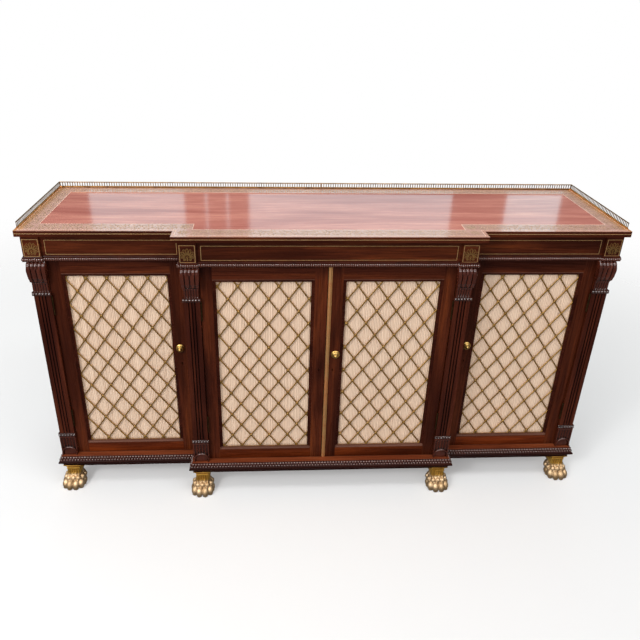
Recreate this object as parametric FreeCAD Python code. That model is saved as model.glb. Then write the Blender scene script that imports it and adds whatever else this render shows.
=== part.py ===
import FreeCAD, Part
import math
import os

# Break-front side cabinet with four grille doors, in millimetres.
# Z is up, the front looks toward -Y. While it is drawn, y = 0 is the front edge of the
# top board at the wings; write_node() then puts the middle of the floor plan on the origin.

V = FreeCAD.Vector
UP = V(0, 0, 1)

# ---------------------------------------------------------------- top board
top_half_width = 871.5
wing_depth = 388.0
break_half_width = 440.0
break_depth = 42.0
top_height = 930.0
top_thickness = 18.0

border_outer = 8.0
border_inner = 54.0
border_thickness = 1.2
stringing_width = 1.6
edge_line_height = 2.0
edge_line_depth = 1.0

# ---------------------------------------------------------------- gallery
gallery_inset = 4.5
gallery_front = 19.0
gallery_back_inset = 7.0
gallery_base_width = 5.0
gallery_base_height = 4.5
gallery_height = 20.0
gallery_rail_width = 3.0
gallery_rail_height = 2.6
gallery_ledge = 1.2
gallery_swell = 2.8
gallery_swell_inset = 0.4
gallery_top_inset = 1.6
gallery_sheet = 1.2
gallery_web = 0.8
gallery_bar = 2.4
gallery_pitch = 8.0

# ---------------------------------------------------------------- carcass
side_overhang = 13.5
break_side_overhang = 18.0
back_overhang = 6.0
post_setback = 25.5
post_width = 49.7
post_thickness = 22.0
board = 18.0
floor_thickness = 18.0
back_thickness = 8.0
shelf_thickness = 16.0
shelf_height = 455.0
shelf_gap = 0.3
shelf_front_clearance = 12.0
peg_radius = 3.5
peg_length = 20.0
peg_depth = 8.0
peg_inset = 40.0
stop_height = 14.0
stop_depth = 12.0

# ---------------------------------------------------------------- frieze
frieze_height = 82.5
frieze_forward = 3.0
block_forward = 6.0
block_width = 50.0
wing_block_stand = 5.5
centre_block_stand = 2.5
block_return = 50.0
frieze_line = 1.5
inlay_depth = 0.8
line_side_margin = 11.0
line_foot = 19.0
line_height = 45.0
square_width = 44.0
square_height = 53.0
square_foot = 15.2
square_line = 1.8
palmette_lobes = 9
palmette_lobe_turn = 20.0
palmette_reach = 25.0
palmette_stand = 0.6
palmette_margin = 4.0
palmette_root_rise = 11.0
palmette_lobe_gap = 4.0
palmette_heart_radius = 6.0
palmette_eye_radius = 4.2
palmette_eye_spread = 9.0
palmette_eye_rise = 6.5
palmette_stem = 3.0
moulding_ledge = 3.6
moulding_ledge_height = 3.6
moulding_step = 3.0
moulding_round = 6.8
moulding_reach = 4.4
moulding_neck = 2.6
moulding_chamfer = 2.5
moulding_lip = 1.5

# ---------------------------------------------------------------- pilasters
head_shift = 0.8
head_width = 54.0
head_foot_width = 46.0
console_height = 99.5
console_reach = 21.0
console_top_back = 5.5
console_lobe_back = 4.0
console_shoulder = 6.0
console_belly_back = 2.5
console_belly_drop = 48.0
console_waist_back = 9.0
console_waist_drop = 74.0
console_toe = 5.0
lobe_count = 5
lobe_height = 16.0
lobe_gap = 0.4
lobe_back = 6.0
collar_height = 11.0
collar_backing = 9.0
bead_radius = 4.4
bead_count = 6
small_bead_radius = 1.8
lower_collar_height = 12.0
shaft_width = 47.0
shaft_proud = 7.0
groove_radius = 1.3
groove_pitch = 8.75
groove_stop = 4.0
base_height = 74.0
base_width = 50.0
base_proud = 11.5
flute_count = 5
flute_radius = 3.2
flute_pitch = 8.93
flute_offset = 1.0
flute_stop = 6.0
scroll_radius = 22.0
scroll_rim = 7.0
scroll_centre_height = 10.0
scroll_proud = 4.0
scroll_hollow = 3.0
scroll_eye_radius = 7.3
scroll_eye_back = 2.0
scroll_eye_rise = 1.0

# ---------------------------------------------------------------- plinth and feet
foot_height = 84.0
plinth_end_inset = 3.5
centre_plinth_overhang = 14.0
plinth_reach = 28.5
plinth_foot_reach = 17.5
plinth_band = 6.0
plinth_cove = 8.5
plinth_round = 11.0
plinth_round_step = 4.0
plinth_quirk = 1.0
plinth_bead = 7.0
plinth_bead_step = 6.0
plinth_bead_swell = 1.8
plinth_bead_gap = 0.5
plinth_row_step = 4.5
plinth_fillet = 1.0
rail_depth = 40.0
cap_size = 58.0
cap_height = 8.0
wing_foot_inset = 30.0
centre_foot_inset = 25.0
toe_reach = 23.0
toe_radius = 9.2
outer_toe_step = 5.0
knuckle_radius = 10.8
knuckle_height = 28.0
knuckle_back = 11.0
toe_pitch = 18.6
toe_count = 4
paw_radius = 33.0
paw_centre_y = 20.0
paw_drop = 3.0
sole_radius = 24.75
sole_height = 8.0
heel_rise = 6.0
heel_swell = 1.0
neck_radius = 22.0
neck_flare = 3.0
neck_back = 6.0
neck_seat = 0.5
back_foot_top = 24.0
back_foot_tip = 15.0
back_foot_inset = 40.0

# ---------------------------------------------------------------- doors
door_setback = 0.5
door_thickness = 22.0
door_gap_foot = 1.5
door_gap_head = 2.5
hinge_gap = 2.0
free_gap = 2.0
meeting_line = -3.2
meeting_gap = 2.0
hinge_stile = 44.3
free_stile = 46.4
meeting_stile = 53.4
foot_rail = 44.3
head_rail = 49.5
beading_width = 9.5
beading_depth = 5.0
beading_lip = 2.5
beading_flat = 2.5
beading_quirk = 1.7
beading_rise = 0.6
beading_round = 4.1
beading_setback = 1.0
grille_thickness = 1.5
grille_margin = 6.0
grille_pitch_x = 59.1
grille_pitch_z = 83.8
grille_strip = 3.4
grille_boss = 9.0
wing_grille_anchor = (616.2, 473.6)
centre_grille_anchor = (57.0, 467.8)
silk_thickness = 6.0
silk_margin = 7.0
soft_gap = 0.3
astragal_width = 11.0
astragal_base = 1.4
astragal_edge = 1.8
astragal_proud = 4.0

# ---------------------------------------------------------------- hinges
hinge_foot_clearance = 28.0
hinge_head_clearance = 4.0
hinge_height = 60.0
hinge_knuckle = 20.0
knuckle_gap = 0.3
barrel_radius = 2.4
pin_radius = 1.2
pin_clearance = 0.05
pin_head_radius = 2.1
pin_head_height = 1.5
pin_inset = 1.0
pin_forward = 4.6
leaf_thickness = 0.9
leaf_depth = 18.0
tongue_thickness = 1.2

# ---------------------------------------------------------------- locks, bolts, knobs
slide_gap = 0.3
lock_height = 475.0
lock_case_width = 26.0
lock_case_height = 50.0
lock_case_depth = 9.0
lock_setback = 8.0
lock_bolt_length = 17.0
lock_bolt_height = 8.0
lock_bolt_depth = 4.0
lock_throw = 8.0
strike_clearance = 0.6
strike_depth = 9.0
keyhole_radius = 2.2
keyhole_slot = 1.8
keyhole_drop = 6.5
wing_keyhole_inset = 25.4
centre_keyhole_inset = 30.0
keyhole_blind_depth = 6.0
rod_radius = 3.0
rod_length = 100.0
rod_end_gap = 0.5
rod_inset = 18.0
rod_back_inset = 8.0
rod_throw = 9.0
rod_socket_depth = 9.5
finger_radius = 2.0
finger_stand = 3.0
finger_from_end = 60.0
knob_height = 530.0
knob_from_opening = 23.3
knob_radius = 13.5
knob_length = 17.0
rose_rim = 2.0
rose_step = 2.5
rose_rise = 4.0
rose_swell_inset = 3.5
rose_swell_rise = 7.5
rose_top_inset = 6.5
rose_top_rise = 9.0
knob_neck_inset = 9.0
knob_neck_foot = 10.5
knob_neck_head = 12.0
button_radius = 5.6

# ---------------------------------------------------------------- derived places
top_under = top_height - top_thickness
side_face = top_half_width - side_overhang
centre_side_face = break_half_width - break_side_overhang
back_face = wing_depth - back_overhang
post_face = post_setback
centre_post_face = post_setback - break_depth
wing_post_inner = side_face - post_width
centre_post_inner = centre_side_face - post_width
plinth_beads = plinth_bead + plinth_bead_gap + plinth_bead
plinth_height = plinth_band + plinth_cove + plinth_round + plinth_quirk + plinth_beads + plinth_fillet
plinth_top = foot_height + plinth_height
frieze_foot = top_under - frieze_height
moulding_height = moulding_ledge_height + moulding_round + moulding_neck + moulding_chamfer
frieze_face = post_face - frieze_forward
block_face = frieze_face - block_forward
wing_block_side = side_face + wing_block_stand
centre_block_side = centre_side_face + centre_block_stand
door_face = post_face + door_setback
centre_door_face = door_face - break_depth
door_foot = plinth_top + door_gap_foot
door_head = frieze_foot - door_gap_head
console_foot = frieze_foot - console_height
shaft_head = console_foot - collar_height
base_head = plinth_top + base_height
shaft_foot = base_head + lower_collar_height
lower_hinge_foot = shaft_foot + hinge_foot_clearance
upper_hinge_foot = shaft_head - hinge_head_clearance - hinge_height
hinge_feet = (lower_hinge_foot, upper_hinge_foot)
wing_foot_x = side_face - wing_foot_inset
centre_foot_x = centre_side_face - centre_foot_inset
plinth_inner = top_half_width - plinth_end_inset - plinth_reach
centre_plinth_inner = centre_side_face + centre_plinth_overhang - plinth_reach
panel_depth = post_thickness + frieze_forward
mid_depth = (wing_depth - break_depth - toe_reach) / 2.0

os.makedirs("parts", exist_ok=True)


# ================================================================ helpers
def box(x0, x1, y0, y1, z0, z1):
    """Box between two opposite corners; the x values may come in either order."""
    return Part.makeBox(abs(x1 - x0), y1 - y0, z1 - z0, V(min(x0, x1), y0, z0))


def mirrored(shape):
    """The same shape on the other side of the cabinet."""
    return shape.mirror(V(0, 0, 0), V(1, 0, 0))


def pair(shape):
    """A shape and its mirror image."""
    return [shape, mirrored(shape)]


def write_node(node, shapes):
    """Writes the solids of one sub-part, centred over the floor plan."""
    solids = [solid for shape in shapes for solid in shape.Solids]
    group = Part.makeCompound(solids) if len(solids) > 1 else solids[0].copy()
    group.translate(V(0, -mid_depth, 0))
    group.exportStep("parts/" + node + ".step")


def outline(start, steps, place):
    """Closed wire through lines (u, v) and arcs (mid u, mid v, end u, end v)."""
    edges = []
    here = start
    for step in list(steps) + [start]:
        there = tuple(step[-2:])
        if len(step) == 4:
            edges.append(Part.Arc(place(*here), place(*step[:2]), place(*there)).toShape())
        elif there != here:
            edges.append(Part.makeLine(place(*here), place(*there)))
        here = there
    return Part.Wire(edges)


def plan_prism(points, z0, z1):
    """Upright prism over a polygon of plan points."""
    corners = [V(x, y, z0) for x, y in points]
    return Part.Face(Part.makePolygon(corners + corners[:1])).extrude(V(0, 0, z1 - z0))


def both_sides(right_half):
    """Full plan path from back left to back right, from its right-hand half."""
    left_half = [(-x, y) for x, y in reversed(right_half)]
    return left_half + list(right_half)


def mitre(before, after):
    """Sideways shift of a corner for each millimetre of outward reach."""
    return (before + after) * (1.0 / (1.0 + before.dot(after)))


def mitred_strips(path, section, reach, closed=False):
    """Straight strips of one moulding section along a plan path, mitred where they meet.

    section is (start, steps) in (outward reach, height); reach is its least and greatest
    outward reach. Outward is to the right of the path's direction.
    """
    corners = [V(x, y, 0) for x, y in path]
    count = len(corners)
    runs = count if closed else count - 1
    ends = [(corners[i], corners[(i + 1) % count]) for i in range(runs)]
    directions = [(b - a).normalize() for a, b in ends]
    normals = [V(t.y, -t.x, 0) for t in directions]
    low, high = reach
    spare = max(abs(low), abs(high)) + 1.0
    strips = []
    for i, (a, b) in enumerate(ends):
        t = directions[i]
        n = normals[i]
        first = i == 0 and not closed
        last = i == runs - 1 and not closed
        at_a = n if first else mitre(normals[i - 1], n)
        at_b = n if last else mitre(n, normals[(i + 1) % runs])
        origin = a - t * spare

        def place(d, z, origin=origin, n=n):
            return origin + n * d + UP * z

        start, steps = section
        bar = Part.Face(outline(start, steps, place)).extrude(t * ((b - a).Length + 2 * spare))
        plan = [a + at_a * low, b + at_b * low, b + at_b * high, a + at_a * high]
        bounds = bar.BoundBox
        wedge = plan_prism([(p.x, p.y) for p in plan], bounds.ZMin - 1.0, bounds.ZMax + 1.0)
        strips.append(bar.common(wedge))
    return strips


def flat_section(d0, d1, z0, z1):
    """Rectangular moulding section."""
    return (d0, z0), [(d1, z0), (d1, z1), (d0, z1)]


def cut_all(shape, tools):
    """Cuts several tools at once."""
    return shape.cut(Part.makeCompound(tools)) if tools else shape


def fuse_all(shapes):
    """Joins several shapes into one."""
    return shapes[0].multiFuse(shapes[1:])


# ================================================================ top
def top_edge_path():
    return both_sides([
        (break_half_width, -break_depth),
        (break_half_width, 0.0),
        (top_half_width, 0.0),
        (top_half_width, wing_depth),
    ])


def edge_line_strips():
    middle = (top_under + top_height) / 2.0
    half = edge_line_height / 2.0
    section = flat_section(-edge_line_depth, 0.0, middle - half, middle + half)
    return mitred_strips(top_edge_path(), section, (-edge_line_depth, 0.0))


def top_ring(outer, inner):
    """Inlaid ring on the top, between two insets from the edge."""
    section = flat_section(-inner, -outer, top_height - border_thickness, top_height)
    return mitred_strips(top_edge_path(), section, (-inner, -outer), closed=True)


def make_top():
    outer_line = top_ring(border_outer, border_outer + stringing_width)
    border = top_ring(border_outer + stringing_width, border_inner - stringing_width)
    inner_line = top_ring(border_inner - stringing_width, border_inner)
    edge_line = edge_line_strips()
    slab = plan_prism(top_edge_path(), top_under, top_height)
    write_node("top_board", [cut_all(slab, top_ring(border_outer, border_inner) + edge_line)])
    write_node("top_border", border)
    write_node("top_stringing", outer_line + inner_line + edge_line)


def gallery_run(length):
    """Pierced strip along +X from the origin, its slots spaced evenly between solid ends."""
    low = gallery_base_height
    high = gallery_height - gallery_rail_height
    strip = box(0, length, -gallery_sheet / 2.0, gallery_sheet / 2.0, low, high)
    slots = int((length - gallery_bar) / gallery_pitch)
    pitch = (length - gallery_bar) / slots
    tools = []
    for i in range(slots):
        left = gallery_bar + i * pitch
        right = left + pitch - gallery_bar
        tools.append(box(left, right, -gallery_sheet, gallery_sheet, low + gallery_web, high - gallery_web))
    return cut_all(strip, tools)


def make_gallery():
    side = top_half_width - gallery_inset
    back = wing_depth - gallery_back_inset
    path = [(side, gallery_front), (side, back), (0.0, back), (-side, back), (-side, gallery_front)]
    half = gallery_base_width / 2.0
    ledge = top_height + gallery_ledge
    swell = half - gallery_swell_inset
    top_reach = half - gallery_top_inset
    base_top = top_height + gallery_base_height
    base_section = (-half, top_height), [
        (half, top_height),
        (half, ledge),
        (swell, top_height + gallery_swell, top_reach, base_top),
        (-top_reach, base_top),
        (-swell, top_height + gallery_swell, -half, ledge),
    ]
    write_node("gallery_base", mitred_strips(path, base_section, (-half, half)))
    rail_half = gallery_rail_width / 2.0
    rail_foot = top_height + gallery_height - gallery_rail_height
    rail_edge = rail_foot + gallery_ledge
    rail_section = (-rail_half, rail_foot), [
        (rail_half, rail_foot),
        (rail_half, rail_edge),
        (0.0, rail_foot + gallery_rail_height, -rail_half, rail_edge),
    ]
    write_node("gallery_rail", mitred_strips(path, rail_section, (-rail_half, rail_half)))
    back_run = gallery_run(side - gallery_sheet / 2.0)
    back_run.translate(V(0, back, top_height))
    side_run = gallery_run(back - gallery_front - gallery_sheet / 2.0)
    side_run.rotate(V(0, 0, 0), UP, 90)
    side_run.translate(V(side, gallery_front, top_height))
    write_node("gallery_sheet", pair(back_run) + pair(side_run))


# ================================================================ carcass
def make_posts():
    wing = box(wing_post_inner, side_face, post_face, post_face + post_thickness, plinth_top, frieze_foot)
    centre = box(centre_post_inner, centre_side_face, centre_post_face,
                 centre_post_face + post_thickness, plinth_top, frieze_foot)
    write_node("corner_posts", pair(wing) + pair(centre))


def compartments():
    """Clear inside spans in x, with each compartment's front y behind its door."""
    wing = (centre_side_face, side_face - board)
    left = (-wing[1], -wing[0])
    centre = (-(centre_side_face - board), centre_side_face - board)
    wing_front = door_face + door_thickness + shelf_front_clearance
    return [(left, wing_front), (centre, wing_front - break_depth), (wing, wing_front)]


def pegs():
    """Shelf pegs, half sunk in the uprights on both sides of each compartment."""
    found = []
    z = shelf_height - peg_radius
    for (x0, x1), front in compartments():
        for y in (front + peg_inset, back_face - back_thickness - peg_inset):
            found.append(Part.makeCylinder(peg_radius, peg_length, V(x0 - peg_depth, y, z), V(1, 0, 0)))
            found.append(Part.makeCylinder(peg_radius, peg_length, V(x1 + peg_depth, y, z), V(-1, 0, 0)))
    return found


def make_uprights(strikes):
    end = box(side_face - board, side_face, post_face + post_thickness, back_face, plinth_top, top_under)
    partition = box(centre_side_face - board, centre_side_face, centre_post_face + post_thickness,
                    back_face, plinth_top, top_under)
    holes = pegs()
    uprights = [cut_all(upright, holes + strikes) for upright in pair(end) + pair(partition)]
    write_node("uprights", uprights)
    write_node("shelf_pegs", holes)


def make_shelves():
    shelves = []
    for (x0, x1), front in compartments():
        shelves.append(box(x0 + shelf_gap, x1 - shelf_gap, front, back_face - back_thickness - shelf_gap,
                           shelf_height, shelf_height + shelf_thickness))
    write_node("shelves", shelves)


def make_floor(rod_socket):
    wing = box(centre_side_face, plinth_inner, post_face, back_face, plinth_top - floor_thickness, plinth_top)
    centre = box(-centre_side_face, centre_side_face, post_face, back_face,
                 plinth_top - floor_thickness, plinth_top)
    nose = box(-centre_plinth_inner, centre_plinth_inner, centre_post_face, post_face,
               plinth_top - floor_thickness, plinth_top)
    write_node("floor_boards", pair(wing) + [centre.fuse(nose).removeSplitter().cut(rod_socket)])


def make_back():
    front = back_face - back_thickness
    panels = [box(x0, x1, front, back_face, plinth_top, top_under) for (x0, x1), _ in compartments()]
    write_node("back_panels", panels)


def make_stops():
    """Strips under the frieze that the closed doors rest against."""
    stops = []
    for (x0, x1), front in compartments():
        back = front - shelf_front_clearance + soft_gap
        stops.append(box(x0, x1, back, back + stop_depth, frieze_foot - stop_height, top_under))
    write_node("door_stops", stops)


# ================================================================ frieze
def frieze_spans():
    """Left and right ends and front face of the three frieze boards."""
    wing_end = wing_block_side - block_width
    centre_end = centre_block_side - block_width
    return [
        (-wing_end, -centre_side_face, frieze_face),
        (-centre_end, centre_end, frieze_face - break_depth),
        (centre_side_face, wing_end, frieze_face),
    ]


def upright_frame(x0, x1, z0, z1, face, line):
    """Rectangular line of inlay, flush with a front face."""
    outer = box(x0, x1, face, face + inlay_depth, z0, z1)
    return outer.cut(box(x0 + line, x1 - line, face, face + inlay_depth, z0 + line, z1 - line))


def frieze_lines():
    """Rectangles of brass line on the parts of the frieze boards that show between the blocks."""
    foot = frieze_foot + line_foot
    head = foot + line_height
    wing_x0 = centre_block_side + line_side_margin
    wing_x1 = wing_block_side - block_width - line_side_margin
    centre_x = centre_block_side - block_width - line_side_margin
    wing = upright_frame(wing_x0, wing_x1, foot, head, frieze_face, frieze_line)
    centre = upright_frame(-centre_x, centre_x, foot, head, frieze_face - break_depth, frieze_line)
    return pair(wing) + [centre]


def block_centres():
    """Centre x and front face of the right-hand wing and centre blocks."""
    return [
        (wing_block_side - block_width / 2.0, block_face),
        (centre_block_side - block_width / 2.0, block_face - break_depth),
    ]


def block_squares():
    squares = []
    foot = frieze_foot + square_foot
    for x, face in block_centres():
        frame = upright_frame(x - square_width / 2.0, x + square_width / 2.0, foot, foot + square_height,
                              face, square_line)
        squares += pair(frame)
    return squares


def palmette(x, face, foot):
    """Anthemion: a fan of lobes over a pair of scroll eyes, standing a little proud."""
    pieces = []
    root = V(x, face, foot + palmette_root_rise)
    for i in range(palmette_lobes):
        tilt = (i - (palmette_lobes - 1) / 2.0) * palmette_lobe_turn
        reach = palmette_reach * (1.0 - abs(tilt) / 200.0)
        lobe = Part.Face(Part.Wire(Part.Ellipse(V(0, 0, 0), reach / 2.0, reach / 9.0).toShape()))
        petal = lobe.extrude(V(0, 0, palmette_stand))
        petal.rotate(V(0, 0, 0), V(1, 0, 0), 90)
        petal.translate(V(reach / 2.0 + palmette_lobe_gap, 0, 0))
        petal.rotate(V(0, 0, 0), V(0, 1, 0), tilt - 90.0)
        petal.translate(root)
        pieces.append(petal)
    pieces.append(Part.makeCylinder(palmette_heart_radius, palmette_stand, root, V(0, -1, 0)))
    eye_z = foot + palmette_eye_rise
    half_stem = palmette_stem / 2.0
    for side in (-1, 1):
        eye_x = x + side * palmette_eye_spread
        eye = V(eye_x, face, eye_z)
        pieces.append(Part.makeCylinder(palmette_eye_radius, palmette_stand, eye, V(0, -1, 0)))
        pieces.append(box(x, eye_x, face - palmette_stand, face, eye_z - half_stem, eye_z + half_stem))
    return fuse_all(pieces)


def make_frieze(rod_socket):
    lines = frieze_lines()
    boards = [box(x0, x1, face, face + panel_depth, frieze_foot, top_under)
              for x0, x1, face in frieze_spans()]
    write_node("frieze_boards", [cut_all(shape, lines + [rod_socket]) for shape in boards])

    squares = block_squares()
    wing_x, _ = block_centres()[0]
    centre_x, centre_face = block_centres()[1]
    wing = box(wing_x - block_width / 2.0, wing_block_side, block_face, post_face + post_thickness,
               frieze_foot, top_under)
    cheek = box(side_face, wing_block_side, post_face + post_thickness, block_face + block_return,
                frieze_foot, top_under)
    centre = box(centre_x - block_width / 2.0, centre_block_side, centre_face,
                 centre_post_face + post_thickness, frieze_foot, top_under)
    centre_cheek = box(centre_side_face, centre_block_side, centre_post_face + post_thickness, frieze_face,
                       frieze_foot, top_under)
    wing = wing.fuse(cheek).removeSplitter()
    centre = centre.fuse(centre_cheek).removeSplitter()
    write_node("frieze_blocks", [cut_all(shape, squares) for shape in pair(wing) + pair(centre)])
    write_node("frieze_stringing", lines + squares)

    motifs = []
    for x, face in block_centres():
        motifs += pair(palmette(x, face, frieze_foot + square_foot + palmette_margin))
    write_node("block_palmettes", motifs)


def make_bead_moulding():
    """Moulding with one round bead that breaks round the blocks under the frieze."""
    wing_end = wing_block_side - block_width
    centre_end = centre_block_side - block_width
    path = both_sides([
        (centre_end, frieze_face - break_depth),
        (centre_end, block_face - break_depth),
        (centre_block_side, block_face - break_depth),
        (centre_block_side, frieze_face),
        (wing_end, frieze_face),
        (wing_end, block_face),
        (wing_block_side, block_face),
        (wing_block_side, block_face + block_return),
        (side_face, block_face + block_return),
        (side_face, back_face),
    ])
    ledge_z = frieze_foot + moulding_ledge_height
    round_head = ledge_z + moulding_round
    head = frieze_foot + moulding_height
    section = (0.0, frieze_foot), [
        (moulding_ledge, frieze_foot),
        (moulding_ledge, ledge_z),
        (moulding_step, ledge_z),
        (moulding_reach, (ledge_z + round_head) / 2.0, moulding_step, round_head),
        (moulding_step, round_head + moulding_neck),
        (moulding_lip, head),
        (0.0, head),
    ]
    write_node("bead_moulding", mitred_strips(path, section, (0.0, moulding_reach)))


# ================================================================ pilasters
def pilasters():
    """Head centre, shaft centre and post face of the right-hand wing and centre pilasters."""
    wing_head = wing_post_inner + post_width / 2.0 - head_shift
    centre_head = centre_post_inner + post_width / 2.0 - head_shift
    return [
        (wing_head, wing_post_inner + shaft_width / 2.0, post_face),
        (centre_head, centre_post_inner + shaft_width / 2.0, centre_post_face),
    ]


def console(x, face, foot):
    """Console head: a swelling scroll front with lobes along its top."""
    head = foot + console_height

    def place(y, z):
        return V(x - head_width / 2.0, y, z)

    front = face - console_reach
    lobe_foot = head - lobe_height
    side = outline((face, foot), [
        (face, head),
        (front + console_top_back, head),
        (front + console_lobe_back, lobe_foot),
        (front, lobe_foot - console_shoulder, front + console_belly_back, head - console_belly_drop),
        (front + console_waist_back, head - console_waist_drop, face - console_toe, foot),
    ], place)
    block = Part.Face(side).extrude(V(head_width, 0, 0))
    half_head = head_width / 2.0
    half_foot = head_foot_width / 2.0
    taper = [(x - half_head, head), (x + half_head, head), (x + half_head, lobe_foot),
             (x + half_foot, foot), (x - half_foot, foot), (x - half_head, lobe_foot)]
    points = [V(px, front - console_reach, pz) for px, pz in taper]
    room = Part.Face(Part.makePolygon(points + points[:1])).extrude(V(0, 3.0 * console_reach, 0))
    lobe_pitch = head_width / lobe_count
    lobes = []
    for i in range(lobe_count):
        lobe_x = x + (i - (lobe_count - 1) / 2.0) * lobe_pitch
        centre = V(lobe_x, front + lobe_back, lobe_foot)
        lobes.append(Part.makeCylinder(lobe_pitch / 2.0 - lobe_gap, lobe_height, centre, UP))
    return fuse_all([block.common(room)] + lobes)


def bead_row(x, z, radius, count, width, front):
    """Row of round beads across a pilaster, with their fronts on one line."""
    pitch = (width - 2.0 * radius) / (count - 1)
    return [Part.makeSphere(radius, V(x - width / 2.0 + radius + i * pitch, front + radius, z))
            for i in range(count)]


def collar(x, face, foot, height, rows):
    """Flat band with rows of round beads half let into its front; a row is (z, radius, count)."""
    front = face - collar_backing
    backing = box(x - head_width / 2.0, x + head_width / 2.0, front, face, foot, foot + height)
    beads = []
    for z, radius, count in rows:
        beads += bead_row(x, z, radius, count, head_width, front - radius)
    return fuse_all([backing] + beads)


def upper_collar(x, face, foot):
    row = (foot + collar_height / 2.0, bead_radius, bead_count)
    return collar(x, face, foot, collar_height, [row])


def lower_collar(x, face, foot):
    row = (foot + bead_radius, bead_radius, bead_count)
    small_row = (foot + lower_collar_height - small_bead_radius, small_bead_radius, 2 * bead_count)
    return collar(x, face, foot, lower_collar_height, [row, small_row])


def shaft(x, face, foot, head):
    """Flat shaft with three fine grooves down its middle."""
    front = face - shaft_proud
    bar = box(x - shaft_width / 2.0, x + shaft_width / 2.0, front, face, foot, head)
    length = head - foot - 2.0 * groove_stop
    places = [V(x + i * groove_pitch, front, foot + groove_stop) for i in (-1, 0, 1)]
    return cut_all(bar, [Part.makeCylinder(groove_radius, length, place) for place in places])


def pilaster_base(x, face, foot):
    """Base block with short flutes over a half-round scroll."""
    front = face - base_proud
    half = base_width / 2.0
    block = box(x - half, x + half, front, face, foot, foot + base_height)
    flute_foot = foot + scroll_centre_height
    flute_length = base_height - scroll_centre_height - flute_stop
    flutes = []
    for i in range(flute_count):
        place = V(x + (i - (flute_count - 1) / 2.0) * flute_pitch, front - flute_offset, flute_foot)
        flutes.append(Part.makeCylinder(flute_radius, flute_length, place))
    room = box(x - half, x + half, front - base_width, face, foot, foot + base_height)
    disc = Part.makeCylinder(scroll_radius, base_proud + scroll_proud, V(x, face, flute_foot), V(0, -1, 0))
    hollow_foot = V(x, front - scroll_proud, flute_foot)
    hollow = Part.makeCylinder(scroll_radius - scroll_rim, scroll_hollow, hollow_foot, V(0, 1, 0))
    eye = Part.makeSphere(scroll_eye_radius, V(x, front + scroll_eye_back, flute_foot + scroll_eye_rise))
    return cut_all(block, flutes).fuse(disc.common(room)).cut(hollow).fuse(eye.common(room))


def make_pilasters():
    shafts = []
    consoles = []
    collars = []
    bases = []
    for head_x, shaft_x, face in pilasters():
        consoles += pair(console(head_x, face, console_foot))
        collars += pair(upper_collar(head_x, face, shaft_head))
        collars += pair(lower_collar(head_x, face, base_head))
        shafts += pair(shaft(shaft_x, face, shaft_foot, shaft_head))
        bases += pair(pilaster_base(shaft_x, face, plinth_top))
    write_node("pilaster_shafts", shafts)
    write_node("console_heads", consoles)
    write_node("collars", collars)
    write_node("pilaster_bases", bases)


# ================================================================ plinth and feet
def make_plinth():
    """Plinth moulding: a ledge, two beads one below the other, and a round lower member."""
    path = both_sides([
        (centre_plinth_inner, centre_post_face),
        (centre_plinth_inner, post_face),
        (plinth_inner, post_face),
        (plinth_inner, back_face),
    ])
    band_z = foot_height + plinth_band
    cove_z = band_z + plinth_cove
    round_z = cove_z + plinth_round
    bead_z = round_z + plinth_quirk
    bead_head = bead_z + plinth_bead
    upper_z = bead_head + plinth_bead_gap
    upper_head = upper_z + plinth_bead
    round_end = plinth_reach - plinth_round_step
    bead_back = plinth_reach - plinth_bead_step
    upper_back = bead_back - plinth_row_step
    section = (0.0, foot_height), [
        (plinth_foot_reach, foot_height),
        (plinth_foot_reach, band_z),
        (round_end, cove_z),
        (plinth_reach, (cove_z + round_z) / 2.0, round_end, round_z),
        (bead_back, bead_z),
        (bead_back + plinth_bead_swell, (bead_z + bead_head) / 2.0, bead_back, bead_head),
        (upper_back, upper_z),
        (upper_back + plinth_bead_swell, (upper_z + upper_head) / 2.0, upper_back, upper_head),
        (upper_back, plinth_top),
        (0.0, plinth_top),
    ]
    write_node("plinth_moulding", mitred_strips(path, section, (0.0, plinth_reach)))

    z0 = foot_height
    z1 = plinth_top - floor_thickness
    front = post_face + rail_depth
    rear = back_face - rail_depth
    side = centre_plinth_inner
    rails = [
        box(-side, side, centre_post_face, centre_post_face + rail_depth, z0, z1),
        box(-plinth_inner, plinth_inner, rear, back_face, z0, z1),
    ]
    rails += pair(box(side, plinth_inner, post_face, front, z0, z1))
    rails += pair(box(plinth_inner - rail_depth, plinth_inner, front, rear, z0, z1))
    rails += pair(box(side - rail_depth, side, centre_post_face + rail_depth, rear, z0, z1))
    write_node("plinth_rails", rails)


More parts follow.
